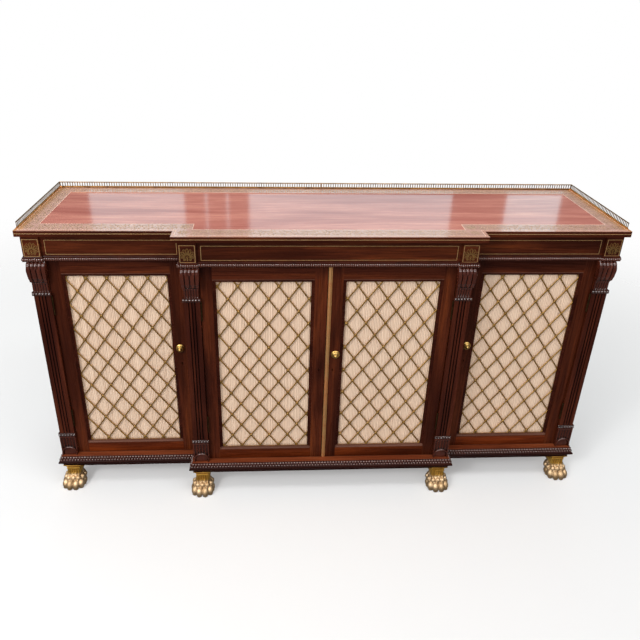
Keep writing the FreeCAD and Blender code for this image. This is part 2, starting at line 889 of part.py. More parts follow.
def paw_foot(x, front):
    """Lion paw under a square cap; front is the y of the cap's front face."""
    toe_front = front - (post_setback - plinth_foot_reach) - toe_reach
    cap_foot = foot_height - cap_height
    cap = box(x - cap_size / 2.0, x + cap_size / 2.0, front, front + cap_size, cap_foot, foot_height)
    paw_y = toe_front + toe_reach + paw_centre_y
    neck_foot = V(x, paw_y + neck_back, paw_radius)
    neck_axis = V(x, front + cap_size / 2.0, cap_foot + neck_seat) - neck_foot
    neck = Part.makeCone(neck_radius + neck_flare, neck_radius, neck_axis.Length, neck_foot, neck_axis)
    paw = Part.makeSphere(paw_radius, V(x, paw_y, paw_radius - paw_drop))
    sole = Part.makeCylinder(sole_radius, sole_height, V(x, paw_y - paw_drop, 0))
    pieces = [cap, neck, paw, sole]
    for i in range(toe_count):
        toe_x = x + (i - (toe_count - 1) / 2.0) * toe_pitch
        toe_y = toe_front + toe_radius
        if i in (0, toe_count - 1):
            toe_y += outer_toe_step
        tip = V(toe_x, toe_y, toe_radius)
        knuckle = V(toe_x, toe_y + knuckle_back, knuckle_height)
        heel = V(x + (toe_x - x) * 0.55, paw_y, knuckle_height + heel_rise)
        toe = knuckle - tip
        back = heel - knuckle
        pieces.append(Part.makeSphere(toe_radius, tip))
        pieces.append(Part.makeSphere(knuckle_radius, knuckle))
        pieces.append(Part.makeCone(toe_radius, knuckle_radius, toe.Length, tip, toe))
        pieces.append(Part.makeCone(knuckle_radius, knuckle_radius + heel_swell, back.Length, knuckle, back))
    body = fuse_all(pieces)
    room = box(x - paw_radius * 2.0, x + paw_radius * 2.0, toe_front - 1.0, toe_front + 4.0 * paw_radius,
               0.0, foot_height)
    return body.common(room)


def make_feet():
    cap_front = post_setback - plinth_foot_reach
    feet = pair(paw_foot(wing_foot_x, cap_front)) + pair(paw_foot(centre_foot_x, cap_front - break_depth))
    write_node("paw_feet", feet)
    back = []
    for x in (wing_foot_x, centre_foot_x):
        y = back_face - back_foot_inset
        cone = Part.makeCone(back_foot_tip, back_foot_top, foot_height - cap_height, V(x, y, 0))
        cap = box(x - back_foot_top, x + back_foot_top, y - back_foot_top, y + back_foot_top,
                  foot_height - cap_height, foot_height)
        back += pair(cone.fuse(cap))
    write_node("back_feet", back)


# ================================================================ doors
class Door:
    """Sizes of one door, drawn as if hinged on its right; mirror flips it to the left."""

    def __init__(self, name, free_edge, hinge_edge, face, free_width, anchor, keyhole, mirror):
        self.name = name
        self.free_edge = free_edge
        self.hinge_edge = hinge_edge
        self.face = face
        self.back = face + door_thickness
        self.open_free = free_edge + free_width
        self.open_hinge = hinge_edge - hinge_stile
        self.open_foot = door_foot + foot_rail
        self.open_head = door_head - head_rail
        self.anchor = anchor
        self.keyhole_x = self.open_free - keyhole
        self.mirror = mirror

    def write(self, node, shapes):
        turned = [mirrored(shape) if self.mirror else shape for shape in shapes]
        write_node(self.name + "_" + node, turned)


def door_keyhole(door, depth):
    x = door.keyhole_x
    hole = Part.makeCylinder(keyhole_radius, depth + 1.0, V(x, door.face - 1.0, lock_height), V(0, 1, 0))
    slot = box(x - keyhole_slot / 2.0, x + keyhole_slot / 2.0, door.face - 1.0, door.face + depth,
               lock_height - keyhole_drop, lock_height)
    return hole.fuse(slot)


def lock_case_box(door):
    y0 = door.face + lock_setback
    return box(door.free_edge, door.free_edge + lock_case_width, y0, y0 + lock_case_depth,
               lock_height - lock_case_height / 2.0, lock_height + lock_case_height / 2.0)


def bolt_channel(door, start, end, clearance):
    """Straight channel for the lock bolt, between two places measured in from the free edge."""
    y = door.face + lock_setback + lock_case_depth / 2.0
    half_y = lock_bolt_depth / 2.0 + clearance
    half_z = lock_bolt_height / 2.0 + clearance
    return box(door.free_edge + start, door.free_edge + end, y - half_y, y + half_y,
               lock_height - half_z, lock_height + half_z)


def strike_hole(door):
    return bolt_channel(door, -free_gap - strike_depth, -free_gap, strike_clearance)


def write_lock(door):
    inner = slide_gap + lock_bolt_length + slide_gap
    channel = bolt_channel(door, -1.0, inner, slide_gap)
    keyway = door_keyhole(door, lock_setback + lock_case_depth - 1.0)
    door.write("lock", [cut_all(lock_case_box(door), [channel, keyway])])
    door.write("lock_bolt", [bolt_channel(door, slide_gap, slide_gap + lock_bolt_length, 0.0)])


def hinge_pins(door):
    return V(door.hinge_edge - pin_inset, door.face - pin_forward, 0)


def hinge_part(door, foot, fixed):
    """One half of a butt hinge: outer knuckles and leaf on the post, or the middle ones on the door."""
    pin = hinge_pins(door)
    if fixed:
        spans = [(0.0, hinge_knuckle), (hinge_height - hinge_knuckle, hinge_height)]
        leaf_x1 = pin_inset + hinge_gap
        leaf_x0 = leaf_x1 - leaf_thickness
        reach = pin_forward - door_setback + leaf_depth
    else:
        spans = [(hinge_knuckle + knuckle_gap, hinge_height - hinge_knuckle - knuckle_gap)]
        leaf_x1 = pin_inset
        leaf_x0 = leaf_x1 - leaf_thickness
        reach = pin_forward + leaf_depth
    leaf_start = barrel_radius + knuckle_gap
    pieces = [box(leaf_x0, leaf_x1, leaf_start, reach, 0.0, hinge_height)]
    for z0, z1 in spans:
        pieces.append(Part.makeCylinder(barrel_radius, z1 - z0, V(0, 0, z0)))
        pieces.append(box(leaf_x0, leaf_x1, 0.0, leaf_start, z0, z1))
        if fixed:
            pieces.append(box(0.0, leaf_x1, 0.0, tongue_thickness, z0, z1))
    bore = Part.makeCylinder(pin_radius + pin_clearance, hinge_height + 2.0, V(0, 0, -1.0))
    part = fuse_all(pieces).cut(bore)
    part.translate(V(pin.x, pin.y, foot))
    return part


def hinge_pin(door, foot):
    """Loose pin with a small head at each end."""
    pin = hinge_pins(door)
    shank = Part.makeCylinder(pin_radius, hinge_height, V(0, 0, 0))
    low = Part.makeCylinder(pin_head_radius, pin_head_height, V(0, 0, -pin_head_height))
    high = Part.makeCylinder(pin_head_radius, pin_head_height, V(0, 0, hinge_height))
    part = fuse_all([shank, low, high])
    part.translate(V(pin.x, pin.y, foot))
    return part


def grille(door):
    """Flat brass lattice: a sheet pierced by diamonds whose corners are cut off at the bosses."""
    x0 = door.open_free - grille_margin
    x1 = door.open_hinge + grille_margin
    z0 = door.open_foot - grille_margin
    z1 = door.open_head + grille_margin
    y0 = door.face + beading_setback + beading_depth
    y1 = y0 + grille_thickness
    sheet = box(x0, x1, y0, y1, z0, z1)
    window = box(door.open_free, door.open_hinge, y0 - 1.0, y1 + 1.0,
                 door.open_foot, door.open_head)
    half_x = grille_pitch_x / 2.0
    half_z = grille_pitch_z / 2.0
    slope = math.hypot(half_x, half_z)
    trim_x = grille_strip / 2.0 * slope / half_z
    trim_z = grille_strip / 2.0 * slope / half_x
    tip_x = half_x - grille_boss / 2.0
    tip_z = half_z - grille_boss / 2.0
    cut_z = diamond_half_width(tip_x, half_x - trim_x, half_z - trim_z)
    cut_x = diamond_half_width(tip_z, half_z - trim_z, half_x - trim_x)
    holes = []
    steps_x = int((door.open_hinge - door.open_free) / half_x) + 3
    steps_z = int((door.open_head - door.open_foot) / half_z) + 3
    anchor_x, anchor_z = door.anchor
    first_x = round((door.open_free - anchor_x) / half_x) - 1
    first_z = round((door.open_foot - anchor_z) / half_z) - 1
    for i in range(first_x, first_x + steps_x):
        for k in range(first_z, first_z + steps_z):
            if (i + k) % 2 == 0:
                continue
            x = anchor_x + i * half_x
            z = anchor_z + k * half_z
            corners = [(tip_x, cut_z), (cut_x, tip_z), (-cut_x, tip_z), (-tip_x, cut_z),
                       (-tip_x, -cut_z), (-cut_x, -tip_z), (cut_x, -tip_z), (tip_x, -cut_z)]
            points = [V(x + dx, y0 - 0.5, z + dz) for dx, dz in corners]
            hole = Part.Face(Part.makePolygon(points + points[:1])).extrude(V(0, grille_thickness + 1.0, 0))
            if inside(x, z, door, half_x, half_z):
                holes.append(hole)
            elif x0 - half_x < x < x1 + half_x and z0 - half_z < z < z1 + half_z:
                holes += hole.common(window).Solids
    return cut_all(sheet, holes)


def diamond_half_width(tip, reach, other):
    """Half width of a diamond with the given half diagonals, at a distance along one of them."""
    return other * (1.0 - tip / reach)


def inside(x, z, door, half_x, half_z):
    """True where a whole diamond hole lies inside the door's opening."""
    fits_x = door.open_free <= x - half_x and x + half_x <= door.open_hinge
    fits_z = door.open_foot <= z - half_z and z + half_z <= door.open_head
    return fits_x and fits_z


def beading(door):
    """Four mitred strips round the opening, sloping down toward the grille."""
    path = [(door.open_free, door.open_foot), (door.open_hinge, door.open_foot),
            (door.open_hinge, door.open_head), (door.open_free, door.open_head)]
    hollow_head = beading_width - beading_flat
    hollow_foot = hollow_head - beading_quirk - beading_round
    section = (0.0, 0.0), [
        (beading_width, 0.0),
        (beading_width, beading_depth),
        (hollow_head, beading_depth),
        (hollow_head - beading_quirk, beading_lip + beading_rise, hollow_foot, beading_lip),
        (0.0, beading_lip),
    ]
    strips = mitred_strips(path, section, (0.0, beading_width), closed=True)
    for strip in strips:
        strip.rotate(V(0, 0, 0), V(1, 0, 0), 90)
        strip.translate(V(0, door.face + beading_setback + beading_depth, 0))
    return strips


def knob(door):
    """Turned knob: a stepped rose with a small button nose."""
    button_z = knob_length - button_radius
    slant = button_radius * math.sin(math.pi / 4.0)
    neck = knob_radius - knob_neck_inset
    profile = outline((0.0, 0.0), [
        (knob_radius, 0.0),
        (knob_radius, rose_rim),
        (knob_radius - rose_step, rose_rise),
        (knob_radius - rose_swell_inset, rose_swell_rise, knob_radius - rose_top_inset, rose_top_rise),
        (neck, knob_neck_foot),
        (neck, knob_neck_head),
        (button_radius, button_z),
        (slant, button_z + slant, 0.0, knob_length),
    ], lambda r, h: V(r, 0, h))
    turned = Part.Face(profile).revolve(V(0, 0, 0), UP, 360)
    turned.rotate(V(0, 0, 0), V(1, 0, 0), 90)
    turned.translate(V(door.open_free - knob_from_opening, door.face, knob_height))
    return turned


def astragal(door):
    """Brass strip with a raised round rib, on the free edge of the door that closes last."""
    face = door.face
    x1 = door.free_edge + astragal_width
    middle = (door.free_edge + x1) / 2.0
    rib_foot = face - astragal_base
    section = outline((door.free_edge, face), [
        (x1, face),
        (x1, rib_foot),
        (x1 - astragal_edge, rib_foot),
        (middle, face - astragal_proud, door.free_edge + astragal_edge, rib_foot),
        (door.free_edge, rib_foot),
    ], lambda x, y: V(x, y, door_foot))
    return Part.Face(section).extrude(V(0, 0, door_head - door_foot))


def make_door(door, stile_cuts, has_knob, has_lock):
    solid_free = door.open_free - beading_width
    solid_hinge = door.open_hinge + beading_width
    free = box(door.free_edge, solid_free, door.face, door.back, door_foot, door_head)
    hinged = box(solid_hinge, door.hinge_edge, door.face, door.back, door_foot, door_head)
    leaves = [hinge_part(door, foot, fixed=False) for foot in hinge_feet]
    mortises = [box(door.hinge_edge - leaf_thickness, door.hinge_edge, door.face,
                    door.face + leaf_depth, foot, foot + hinge_height) for foot in hinge_feet]
    if has_lock:
        keyway = door_keyhole(door, lock_setback + lock_case_depth - 1.0)
        stile_cuts = stile_cuts + [lock_case_box(door), keyway]
    foot = box(solid_free, solid_hinge, door.face, door.back, door_foot, door.open_foot - beading_width)
    head = box(solid_free, solid_hinge, door.face, door.back, door.open_head + beading_width, door_head)
    door.write("frame", [cut_all(free, stile_cuts), cut_all(hinged, mortises), foot, head])
    door.write("beading", beading(door))
    door.write("grille", [grille(door)])
    silk_front = door.face + beading_setback + beading_depth + grille_thickness + soft_gap
    door.write("silk", [box(door.open_free - silk_margin, door.open_hinge + silk_margin, silk_front,
                            silk_front + silk_thickness, door.open_foot - silk_margin,
                            door.open_head + silk_margin)])
    door.write("hinge_leaves", leaves)
    if has_knob:
        door.write("knob", [knob(door)])
    if has_lock:
        write_lock(door)


def flush_rod(door, upward):
    """Round bolt in a bore near the free edge, with a finger peg: rod, bore and socket."""
    x = door.free_edge + rod_inset
    y = door.back - rod_back_inset
    way = 1.0 if upward else -1.0
    tip_z = door_head - rod_end_gap if upward else door_foot + rod_end_gap
    root_z = tip_z - way * rod_length
    finger_z = tip_z - way * finger_from_end
    axis = V(0, 0, way)
    finger = Part.makeCylinder(finger_radius, door.back + finger_stand - y, V(x, y, finger_z), V(0, 1, 0))
    rod = Part.makeCylinder(rod_radius, rod_length, V(x, y, root_z), axis).fuse(finger)
    bore_length = rod_length + slide_gap + rod_end_gap + 1.0
    bore = Part.makeCylinder(rod_radius + slide_gap, bore_length, V(x, y, root_z - way * slide_gap), axis)
    slot_z = sorted([finger_z - way * (finger_radius + slide_gap),
                     finger_z + way * (finger_radius + slide_gap + rod_throw)])
    half = finger_radius + slide_gap
    slot = box(x - half, x + half, y, door.back + 1.0, slot_z[0], slot_z[1])
    seat_z = frieze_foot if upward else plinth_top
    socket = Part.makeCylinder(rod_radius + strike_clearance, rod_socket_depth, V(x, y, seat_z), axis)
    return rod, bore.fuse(slot), socket


def make_hardware(doors):
    """Fixed hinge leaves and pins, on the posts."""
    plates = []
    pins = []
    for door in doors:
        for foot in hinge_feet:
            for shape, group in ((hinge_part(door, foot, fixed=True), plates), (hinge_pin(door, foot), pins)):
                group.append(mirrored(shape) if door.mirror else shape)
    write_node("hinge_plates", plates)
    write_node("hinge_pins", pins)


def main():
    wing_edge = wing_post_inner - hinge_gap
    centre_edge = centre_post_inner - hinge_gap
    wing_free = centre_side_face + free_gap
    right_free = meeting_line + meeting_gap / 2.0
    left_free = -(meeting_line - meeting_gap / 2.0)
    right_wing = Door("right_wing", wing_free, wing_edge, door_face, free_stile,
                      wing_grille_anchor, wing_keyhole_inset, False)
    left_wing = Door("left_wing", wing_free, wing_edge, door_face, free_stile,
                     wing_grille_anchor, wing_keyhole_inset, True)
    right_centre = Door("right_centre", right_free, centre_edge, centre_door_face, meeting_stile,
                        centre_grille_anchor, centre_keyhole_inset, False)
    left_width = meeting_stile + right_free - left_free
    left_centre = Door("left_centre", left_free, centre_edge, centre_door_face, left_width,
                       centre_grille_anchor, centre_keyhole_inset, True)

    upper_rod, upper_bore, upper_socket = flush_rod(left_centre, upward=True)
    lower_rod, lower_bore, lower_socket = flush_rod(left_centre, upward=False)
    strikes = [strike_hole(right_wing), mirrored(strike_hole(right_wing))]

    make_top()
    make_gallery()
    make_posts()
    make_uprights(strikes)
    make_shelves()
    make_floor(mirrored(lower_socket))
    make_back()
    make_stops()
    make_frieze(mirrored(upper_socket))
    make_bead_moulding()
    make_pilasters()
    make_plinth()
    make_feet()

    make_door(right_wing, [], has_knob=True, has_lock=True)
    make_door(left_wing, [], has_knob=True, has_lock=True)
    make_door(right_centre, [], has_knob=True, has_lock=True)
    blind = door_keyhole(left_centre, keyhole_blind_depth)
    mortise = mirrored(strike_hole(right_centre))
    make_door(left_centre, [upper_bore, lower_bore, blind, mortise], has_knob=False, has_lock=False)
    left_centre.write("upper_bolt", [upper_rod])
    left_centre.write("lower_bolt", [lower_rod])
    right_centre.write("astragal", [astragal(right_centre)])
    make_hardware([right_wing, left_wing, right_centre, left_centre])


main()
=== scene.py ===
import math
import random

import bmesh
import bpy
from mathutils import Matrix, Vector


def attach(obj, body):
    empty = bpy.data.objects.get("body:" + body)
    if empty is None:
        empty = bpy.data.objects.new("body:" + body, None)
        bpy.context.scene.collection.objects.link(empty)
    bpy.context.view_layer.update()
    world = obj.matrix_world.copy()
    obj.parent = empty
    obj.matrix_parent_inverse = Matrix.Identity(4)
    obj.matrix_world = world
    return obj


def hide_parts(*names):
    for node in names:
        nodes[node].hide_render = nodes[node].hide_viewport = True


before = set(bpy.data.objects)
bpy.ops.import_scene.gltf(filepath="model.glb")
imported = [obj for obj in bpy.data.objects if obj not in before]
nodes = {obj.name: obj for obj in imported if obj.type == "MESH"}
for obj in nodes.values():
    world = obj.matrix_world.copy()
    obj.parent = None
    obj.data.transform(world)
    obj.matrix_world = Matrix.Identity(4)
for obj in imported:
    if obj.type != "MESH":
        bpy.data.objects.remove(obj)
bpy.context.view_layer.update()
MM = 0.001


# ---------------- shader helpers
def add(tree, kind, feeds=None, **settings):
    """New node; feeds maps a socket's name or number to a value or to another node's output."""
    node = tree.nodes.new(kind)
    for key, value in settings.items():
        setattr(node, key, value)
    for key, value in (feeds or {}).items():
        if isinstance(value, bpy.types.NodeSocket):
            tree.links.new(value, node.inputs[key])
        else:
            node.inputs[key].default_value = value
    return node


def ramp(tree, factor, stops):
    """Colour ramp with (place, brightness) stops; returns its colour output."""
    node = add(tree, "ShaderNodeValToRGB", {"Fac": factor})
    band = node.color_ramp
    while len(band.elements) < len(stops):
        band.elements.new(0.5)
    for element, (place, level) in zip(band.elements, stops):
        element.position = place
        element.color = (level, level, level, 1.0)
    return node.outputs["Color"]


def maths(tree, operation, first, second=0.0):
    return add(tree, "ShaderNodeMath", {0: first, 1: second}, operation=operation).outputs[0]


def times(tree, first, second):
    return maths(tree, "MULTIPLY", first, second)


def span(tree, value, start, end, low=0.0, high=1.0):
    """Runs from low to high while the value runs from start to end."""
    return add(tree, "ShaderNodeMapRange", {0: value, 1: start, 2: end, 3: low, 4: high}).outputs[0]


def blend_colours(tree, factor, first, second, kind="MIX"):
    feeds = {0: factor, 6: first, 7: second}
    return add(tree, "ShaderNodeMix", feeds, data_type="RGBA", blend_type=kind).outputs[2]


def object_place(tree):
    return add(tree, "ShaderNodeTexCoord").outputs["Object"]


def axes_of(tree, vector):
    return add(tree, "ShaderNodeSeparateXYZ", {0: vector}).outputs


def attribute(tree, name):
    return add(tree, "ShaderNodeAttribute", attribute_name=name).outputs["Fac"]


def new_group(name, inputs, outputs):
    """Empty node group with named sockets; returns its tree and its input node's outputs."""
    tree = bpy.data.node_groups.new(name, "ShaderNodeTree")
    for label, kind, value in inputs:
        socket = tree.interface.new_socket(label, in_out="INPUT", socket_type="NodeSocket" + kind)
        if value is not None:
            socket.default_value = value
    for label, kind in outputs:
        tree.interface.new_socket(label, in_out="OUTPUT", socket_type="NodeSocket" + kind)
    return tree, add(tree, "NodeGroupInput").outputs


def rgb(red, green, blue):
    return (red, green, blue, 1.0)


def stretched(tree, vector, scale):
    return add(tree, "ShaderNodeMapping", {"Vector": vector, "Scale": scale}).outputs[0]


def noise(tree, vector, detail=2.0, roughness=0.5, distortion=0.0, scale=1.0):
    return add(tree, "ShaderNodeTexNoise", {"Vector": vector, "Scale": scale, "Detail": detail,
                                            "Roughness": roughness, "Distortion": distortion}).outputs[0]


# ---------------- shared effects
def make_wood_figure():
    """Figure of polished wood whose grain runs along X of the vector it is given, in metres."""
    tree, given = new_group("wood_figure", [
        ("Vector", "Vector", None),
        ("Dark", "Color", rgb(0.02, 0.005, 0.003)),
        ("Middle", "Color", rgb(0.05, 0.012, 0.005)),
        ("Pale", "Color", rgb(0.12, 0.03, 0.01)),
        ("Breadth", "Float", 1.0),
    ], [("Color", "Color"), ("Streaks", "Float"), ("Pores", "Float")])
    vector = add(tree, "ShaderNodeVectorMath", {0: given["Vector"], "Scale": given["Breadth"]},
                 operation="SCALE").outputs[0]
    broad = noise(tree, stretched(tree, vector, (1.5, 11.0, 11.0)), 3.0, 0.55, 0.9)
    band = noise(tree, stretched(tree, vector, (2.5, 46.0, 46.0)), 3.0, 0.6, 0.5)
    streak = noise(tree, stretched(tree, vector, (9.0, 240.0, 240.0)), 3.0, 0.65)
    pore = noise(tree, stretched(tree, vector, (70.0, 1400.0, 1400.0)), 1.0, 0.5)
    shade = ramp(tree, broad, [(0.34, 0.0), (0.56, 1.0)])
    colour = blend_colours(tree, shade, given["Dark"], given["Middle"])
    lit = times(tree, ramp(tree, band, [(0.45, 0.0), (0.72, 1.0)]),
                ramp(tree, broad, [(0.40, 0.15), (0.66, 1.0)]))
    colour = blend_colours(tree, lit, colour, given["Pale"])
    dimmed = blend_colours(tree, ramp(tree, streak, [(0.38, 0.55), (0.60, 0.0)]), colour, given["Dark"])
    pores = ramp(tree, pore, [(0.30, 1.0), (0.42, 0.0)])
    shaded = blend_colours(tree, times(tree, pores, 0.5), dimmed, given["Dark"])
    add(tree, "NodeGroupOutput", {"Color": shaded, "Streaks": streak, "Pores": pores})
    return tree


def make_tarnish():
    """Cloudy tarnish and fine rubbing on old metal: a mask from 0, dull, to 1, bright."""
    tree, given = new_group("tarnish", [
        ("Vector", "Vector", None),
        ("Dull", "Color", rgb(0.3, 0.18, 0.07)),
        ("Bright", "Color", rgb(0.7, 0.5, 0.25)),
        ("Coarse", "Float", 40.0),
    ], [("Color", "Color"), ("Wear", "Float"), ("Grain", "Float")])
    big = noise(tree, given["Vector"], 4.0, 0.6, scale=given["Coarse"])
    small = noise(tree, given["Vector"], scale=700.0)
    wear = maths(tree, "ADD", times(tree, big, 0.75), times(tree, small, 0.25))
    wear = ramp(tree, wear, [(0.36, 0.0), (0.60, 1.0)])
    colour = blend_colours(tree, wear, given["Dull"], given["Bright"])
    add(tree, "NodeGroupOutput", {"Color": colour, "Wear": wear, "Grain": small})
    return tree


wood_figure = make_wood_figure()
tarnish = make_tarnish()


# ---------------- finishes
def new_finish(name, **sockets):
    """Material with a Principled surface; keywords are its constant sockets, with _ for a space."""
    material = bpy.data.materials.new(name)
    material.use_nodes = True
    surface = material.node_tree.nodes["Principled BSDF"]
    for key, value in sockets.items():
        surface.inputs[key.replace("_", " ")].default_value = value
    return material, material.node_tree, surface


def coloured(tree, surface, colour):
    tree.links.new(colour, surface.inputs["Base Color"])


def rough_between(tree, surface, factor, low, high):
    tree.links.new(span(tree, factor, 0.0, 1.0, low, high), surface.inputs["Roughness"])


def bumped(tree, surface, height, strength, distance):
    bump = add(tree, "ShaderNodeBump", {"Height": height, "Strength": strength, "Distance": distance})
    tree.links.new(bump.outputs[0], surface.inputs["Normal"])


def figured(tree, vector, shades, breadth=1.0):
    """Wood figure in a dark, a middle and a pale shade."""
    dark, middle, pale = (rgb(*shade) for shade in shades)
    feeds = {"Dark": dark, "Middle": middle, "Pale": pale, "Breadth": breadth, "Vector": vector}
    return add(tree, "ShaderNodeGroup", feeds, node_tree=wood_figure).outputs


# Painted shade: blends the colour toward a shadow colour by depth times share.
def paint_shade(tree, colour, depth, share, shadow):
    return blend_colours(tree, times(tree, depth, share), colour, shadow)


TURN_UP = (0.0, math.radians(90.0), 0.0)
UPRIGHT_SHIFT = 0.7
PORE_DEPTH = 0.0002
FOOT_RAIL_BAND = (0.155, 0.185)
# A door's head rail, under the bead moulding, is darkened in this band with a painted shadow.
HEAD_RAIL_SHADE_BAND = (0.785, 0.815)
HEAD_RAIL_PAINTED_SHADE = rgb(0.6, 0.6, 0.75)
WOOD_SHADOW = rgb(0.003, 0.001, 0.0008)
# Multiplied into the shaft grooves: a painted shade.
GROOVE_PAINTED_SHADE = rgb(0.12, 0.10, 0.12)


def groove_mask(tree, away, near, far, pitch, half):
    """1 on three upright grooves about each of two |x| centres."""
    outer = times(tree, maths(tree, "GREATER_THAN", away, (near + far) / 2.0), far - near)
    local = maths(tree, "SUBTRACT", maths(tree, "SUBTRACT", away, outer), near)
    line = maths(tree, "LESS_THAN", maths(tree, "PINGPONG", local, pitch / 2.0), half)
    within = maths(tree, "LESS_THAN", maths(tree, "ABSOLUTE", local), pitch * 1.4)
    return times(tree, line, within)


def polished_wood(name, shades, upright=False, rails=None, breadth=1.0, shift=0.0, rough=(0.22, 0.34),
                  gloss=0.08, coat=0.0, hollow_shade=0.0, grooves=None):
    """French-polished wood. rails gives the |x| span in which a door's grain runs level, and how much
    redder such a door's foot rail is; such a door's head rail also gets a painted shadow. hollow_shade
    darkens the piece by its own "hollow" attribute, a painted shade in its hollows; grooves gives the two |x|
    centres, the pitch and the half width of three grooves darkened with a painted shade."""
    material, tree, surface = new_finish(name, Specular_IOR_Level=gloss, Coat_Weight=coat, Coat_IOR=1.7,
                                         Coat_Roughness=0.14)
    place = object_place(tree)
    across, _, height = axes_of(tree, place)
    away = maths(tree, "ABSOLUTE", across)
    level = add(tree, "ShaderNodeMapping", {"Vector": place, "Location": (shift, shift, shift)}).outputs[0]
    risen = add(tree, "ShaderNodeMapping", {"Vector": place, "Location": (shift, UPRIGHT_SHIFT, shift),
                                            "Rotation": TURN_UP}).outputs[0]
    vector = risen if upright else level
    if rails:
        between = times(tree, maths(tree, "GREATER_THAN", away, rails[0]),
                        maths(tree, "LESS_THAN", away, rails[1]))
        vector = add(tree, "ShaderNodeMix", {0: between, 4: risen, 5: level}, data_type="VECTOR").outputs[1]
    colour, streaks, pores = figured(tree, vector, shades, breadth)
    if rails:
        warm = times(tree, between, span(tree, height, *FOOT_RAIL_BAND, 1.0, 0.0))
        redder = rgb(rails[2], rails[2] * 0.85, rails[2] * 0.5)
        colour = blend_colours(tree, warm, colour, redder, "MULTIPLY")
        # Painted shadow on the head rail, under the bead moulding.
        colour = blend_colours(tree, span(tree, height, *HEAD_RAIL_SHADE_BAND), colour, HEAD_RAIL_PAINTED_SHADE, "MULTIPLY")
    # Painted shade in the piece's hollows.
    if hollow_shade:
        colour = paint_shade(tree, colour, attribute(tree, "hollow"), hollow_shade, WOOD_SHADOW)
    # Painted shade in the shaft grooves.
    if grooves:
        colour = blend_colours(tree, groove_mask(tree, away, *grooves), colour, GROOVE_PAINTED_SHADE, "MULTIPLY")
    coloured(tree, surface, colour)
    rough_between(tree, surface, streaks, *rough)
    bumped(tree, surface, pores, 0.12, PORE_DEPTH)
    return material


def ledged_wood(name, lit_shades, plain, low, high):
    """Dark moulded wood with a painted highlight: paler, warmer shades below one height and above another, on
    the faces where light falls.
    """
    material, tree, surface = new_finish(name, Specular_IOR_Level=0.06)
    place = object_place(tree)
    ledge = figured(tree, place, lit_shades)
    colour, streaks, pores = figured(tree, place, plain)
    height = axes_of(tree, place)[2]
    lit_band = maths(tree, "ADD", maths(tree, "GREATER_THAN", height, high),
                 maths(tree, "LESS_THAN", height, low))
    coloured(tree, surface, blend_colours(tree, lit_band, colour, ledge[0]))
    rough_between(tree, surface, streaks, 0.2, 0.34)
    bumped(tree, surface, pores, 0.12, PORE_DEPTH)
    return material


METAL_SHADOW = rgb(0.05, 0.024, 0.008)


def worn_metal(name, dull, bright, coarse=40.0, rough=(0.6, 0.45), hollow_shade=0.0, tints=()):
    """Aged metal. hollow_shade darkens the piece by its own "hollow" attribute, a painted shade in its
    hollows.
    Each tint is (axis, start, end, colour): it grows from start to end, in metres, along |x| or z."""
    material, tree, surface = new_finish(name, Metallic=1.0)
    place = object_place(tree)
    feeds = {"Dull": rgb(*dull), "Bright": rgb(*bright), "Coarse": coarse, "Vector": place}
    colour, wear, grain = add(tree, "ShaderNodeGroup", feeds, node_tree=tarnish).outputs
    # Painted shade in the piece's hollows.
    if hollow_shade:
        colour = paint_shade(tree, colour, attribute(tree, "hollow"), hollow_shade, METAL_SHADOW)
    if tints:
        across, _, height = axes_of(tree, place)
        ways = {"x": maths(tree, "ABSOLUTE", across), "z": height}
        for axis, start, end, tint in tints:
            colour = blend_colours(tree, span(tree, ways[axis], start, end), colour, rgb(*tint), "MULTIPLY")
    coloured(tree, surface, colour)
    rough_between(tree, surface, wear, *rough)
    bumped(tree, surface, grain, 0.15, PORE_DEPTH)
    return material


BREAK_X = 0.432
END_STRIP_X = 0.8635
WING_STRIP_Y = -0.1535
CENTRE_STRIP_Y = -0.1955
TOP_FACE_Z = 0.9294
EDGE_GLOSS, TOP_GLOSS = 0.02, 0.5
EDGE_DULLNESS = 0.3
BORDER_ENDS_X = (0.843, 0.855)
BORDER_END_TINT = rgb(0.92, 0.78, 0.46)
# The border's ground shades: its wood painted pale and pinkish, a painted reflection.
GROUND_REFLECTION_SHADES = ((0.46, 0.26, 0.205), (0.56, 0.34, 0.275), (0.64, 0.41, 0.335))


def slab_wood(name, shades, edge_shades, front_strip, side_strip):
    """Top slab: bright glossy mahogany with pale outer strips, over a dark edge moulding."""
    material, tree, surface = new_finish(name)
    place = object_place(tree)
    top, streaks, pores = figured(tree, place, shades, 0.8)
    edge = figured(tree, place, edge_shades)
    across, along, height = axes_of(tree, place)
    away = maths(tree, "ABSOLUTE", across)
    wing_front = times(tree, maths(tree, "GREATER_THAN", away, BREAK_X),
                       maths(tree, "LESS_THAN", along, WING_STRIP_Y))
    front = maths(tree, "MAXIMUM", maths(tree, "LESS_THAN", along, CENTRE_STRIP_Y), wing_front)
    above = maths(tree, "GREATER_THAN", height, TOP_FACE_Z)
    upper = blend_colours(tree, front, top, front_strip)
    upper = blend_colours(tree, maths(tree, "GREATER_THAN", away, END_STRIP_X), upper, side_strip)
    coloured(tree, surface, blend_colours(tree, above, edge[0], upper))
    gloss = maths(tree, "ADD", times(tree, above, TOP_GLOSS - EDGE_GLOSS), EDGE_GLOSS)
    tree.links.new(gloss, surface.inputs["Specular IOR Level"])
    dull = times(tree, maths(tree, "SUBTRACT", 1.0, above), EDGE_DULLNESS)
    tree.links.new(maths(tree, "ADD", span(tree, streaks, 0.0, 1.0, 0.05, 0.12), dull),
                   surface.inputs["Roughness"])
    bumped(tree, surface, pores, 0.05, 0.0001)
    return material


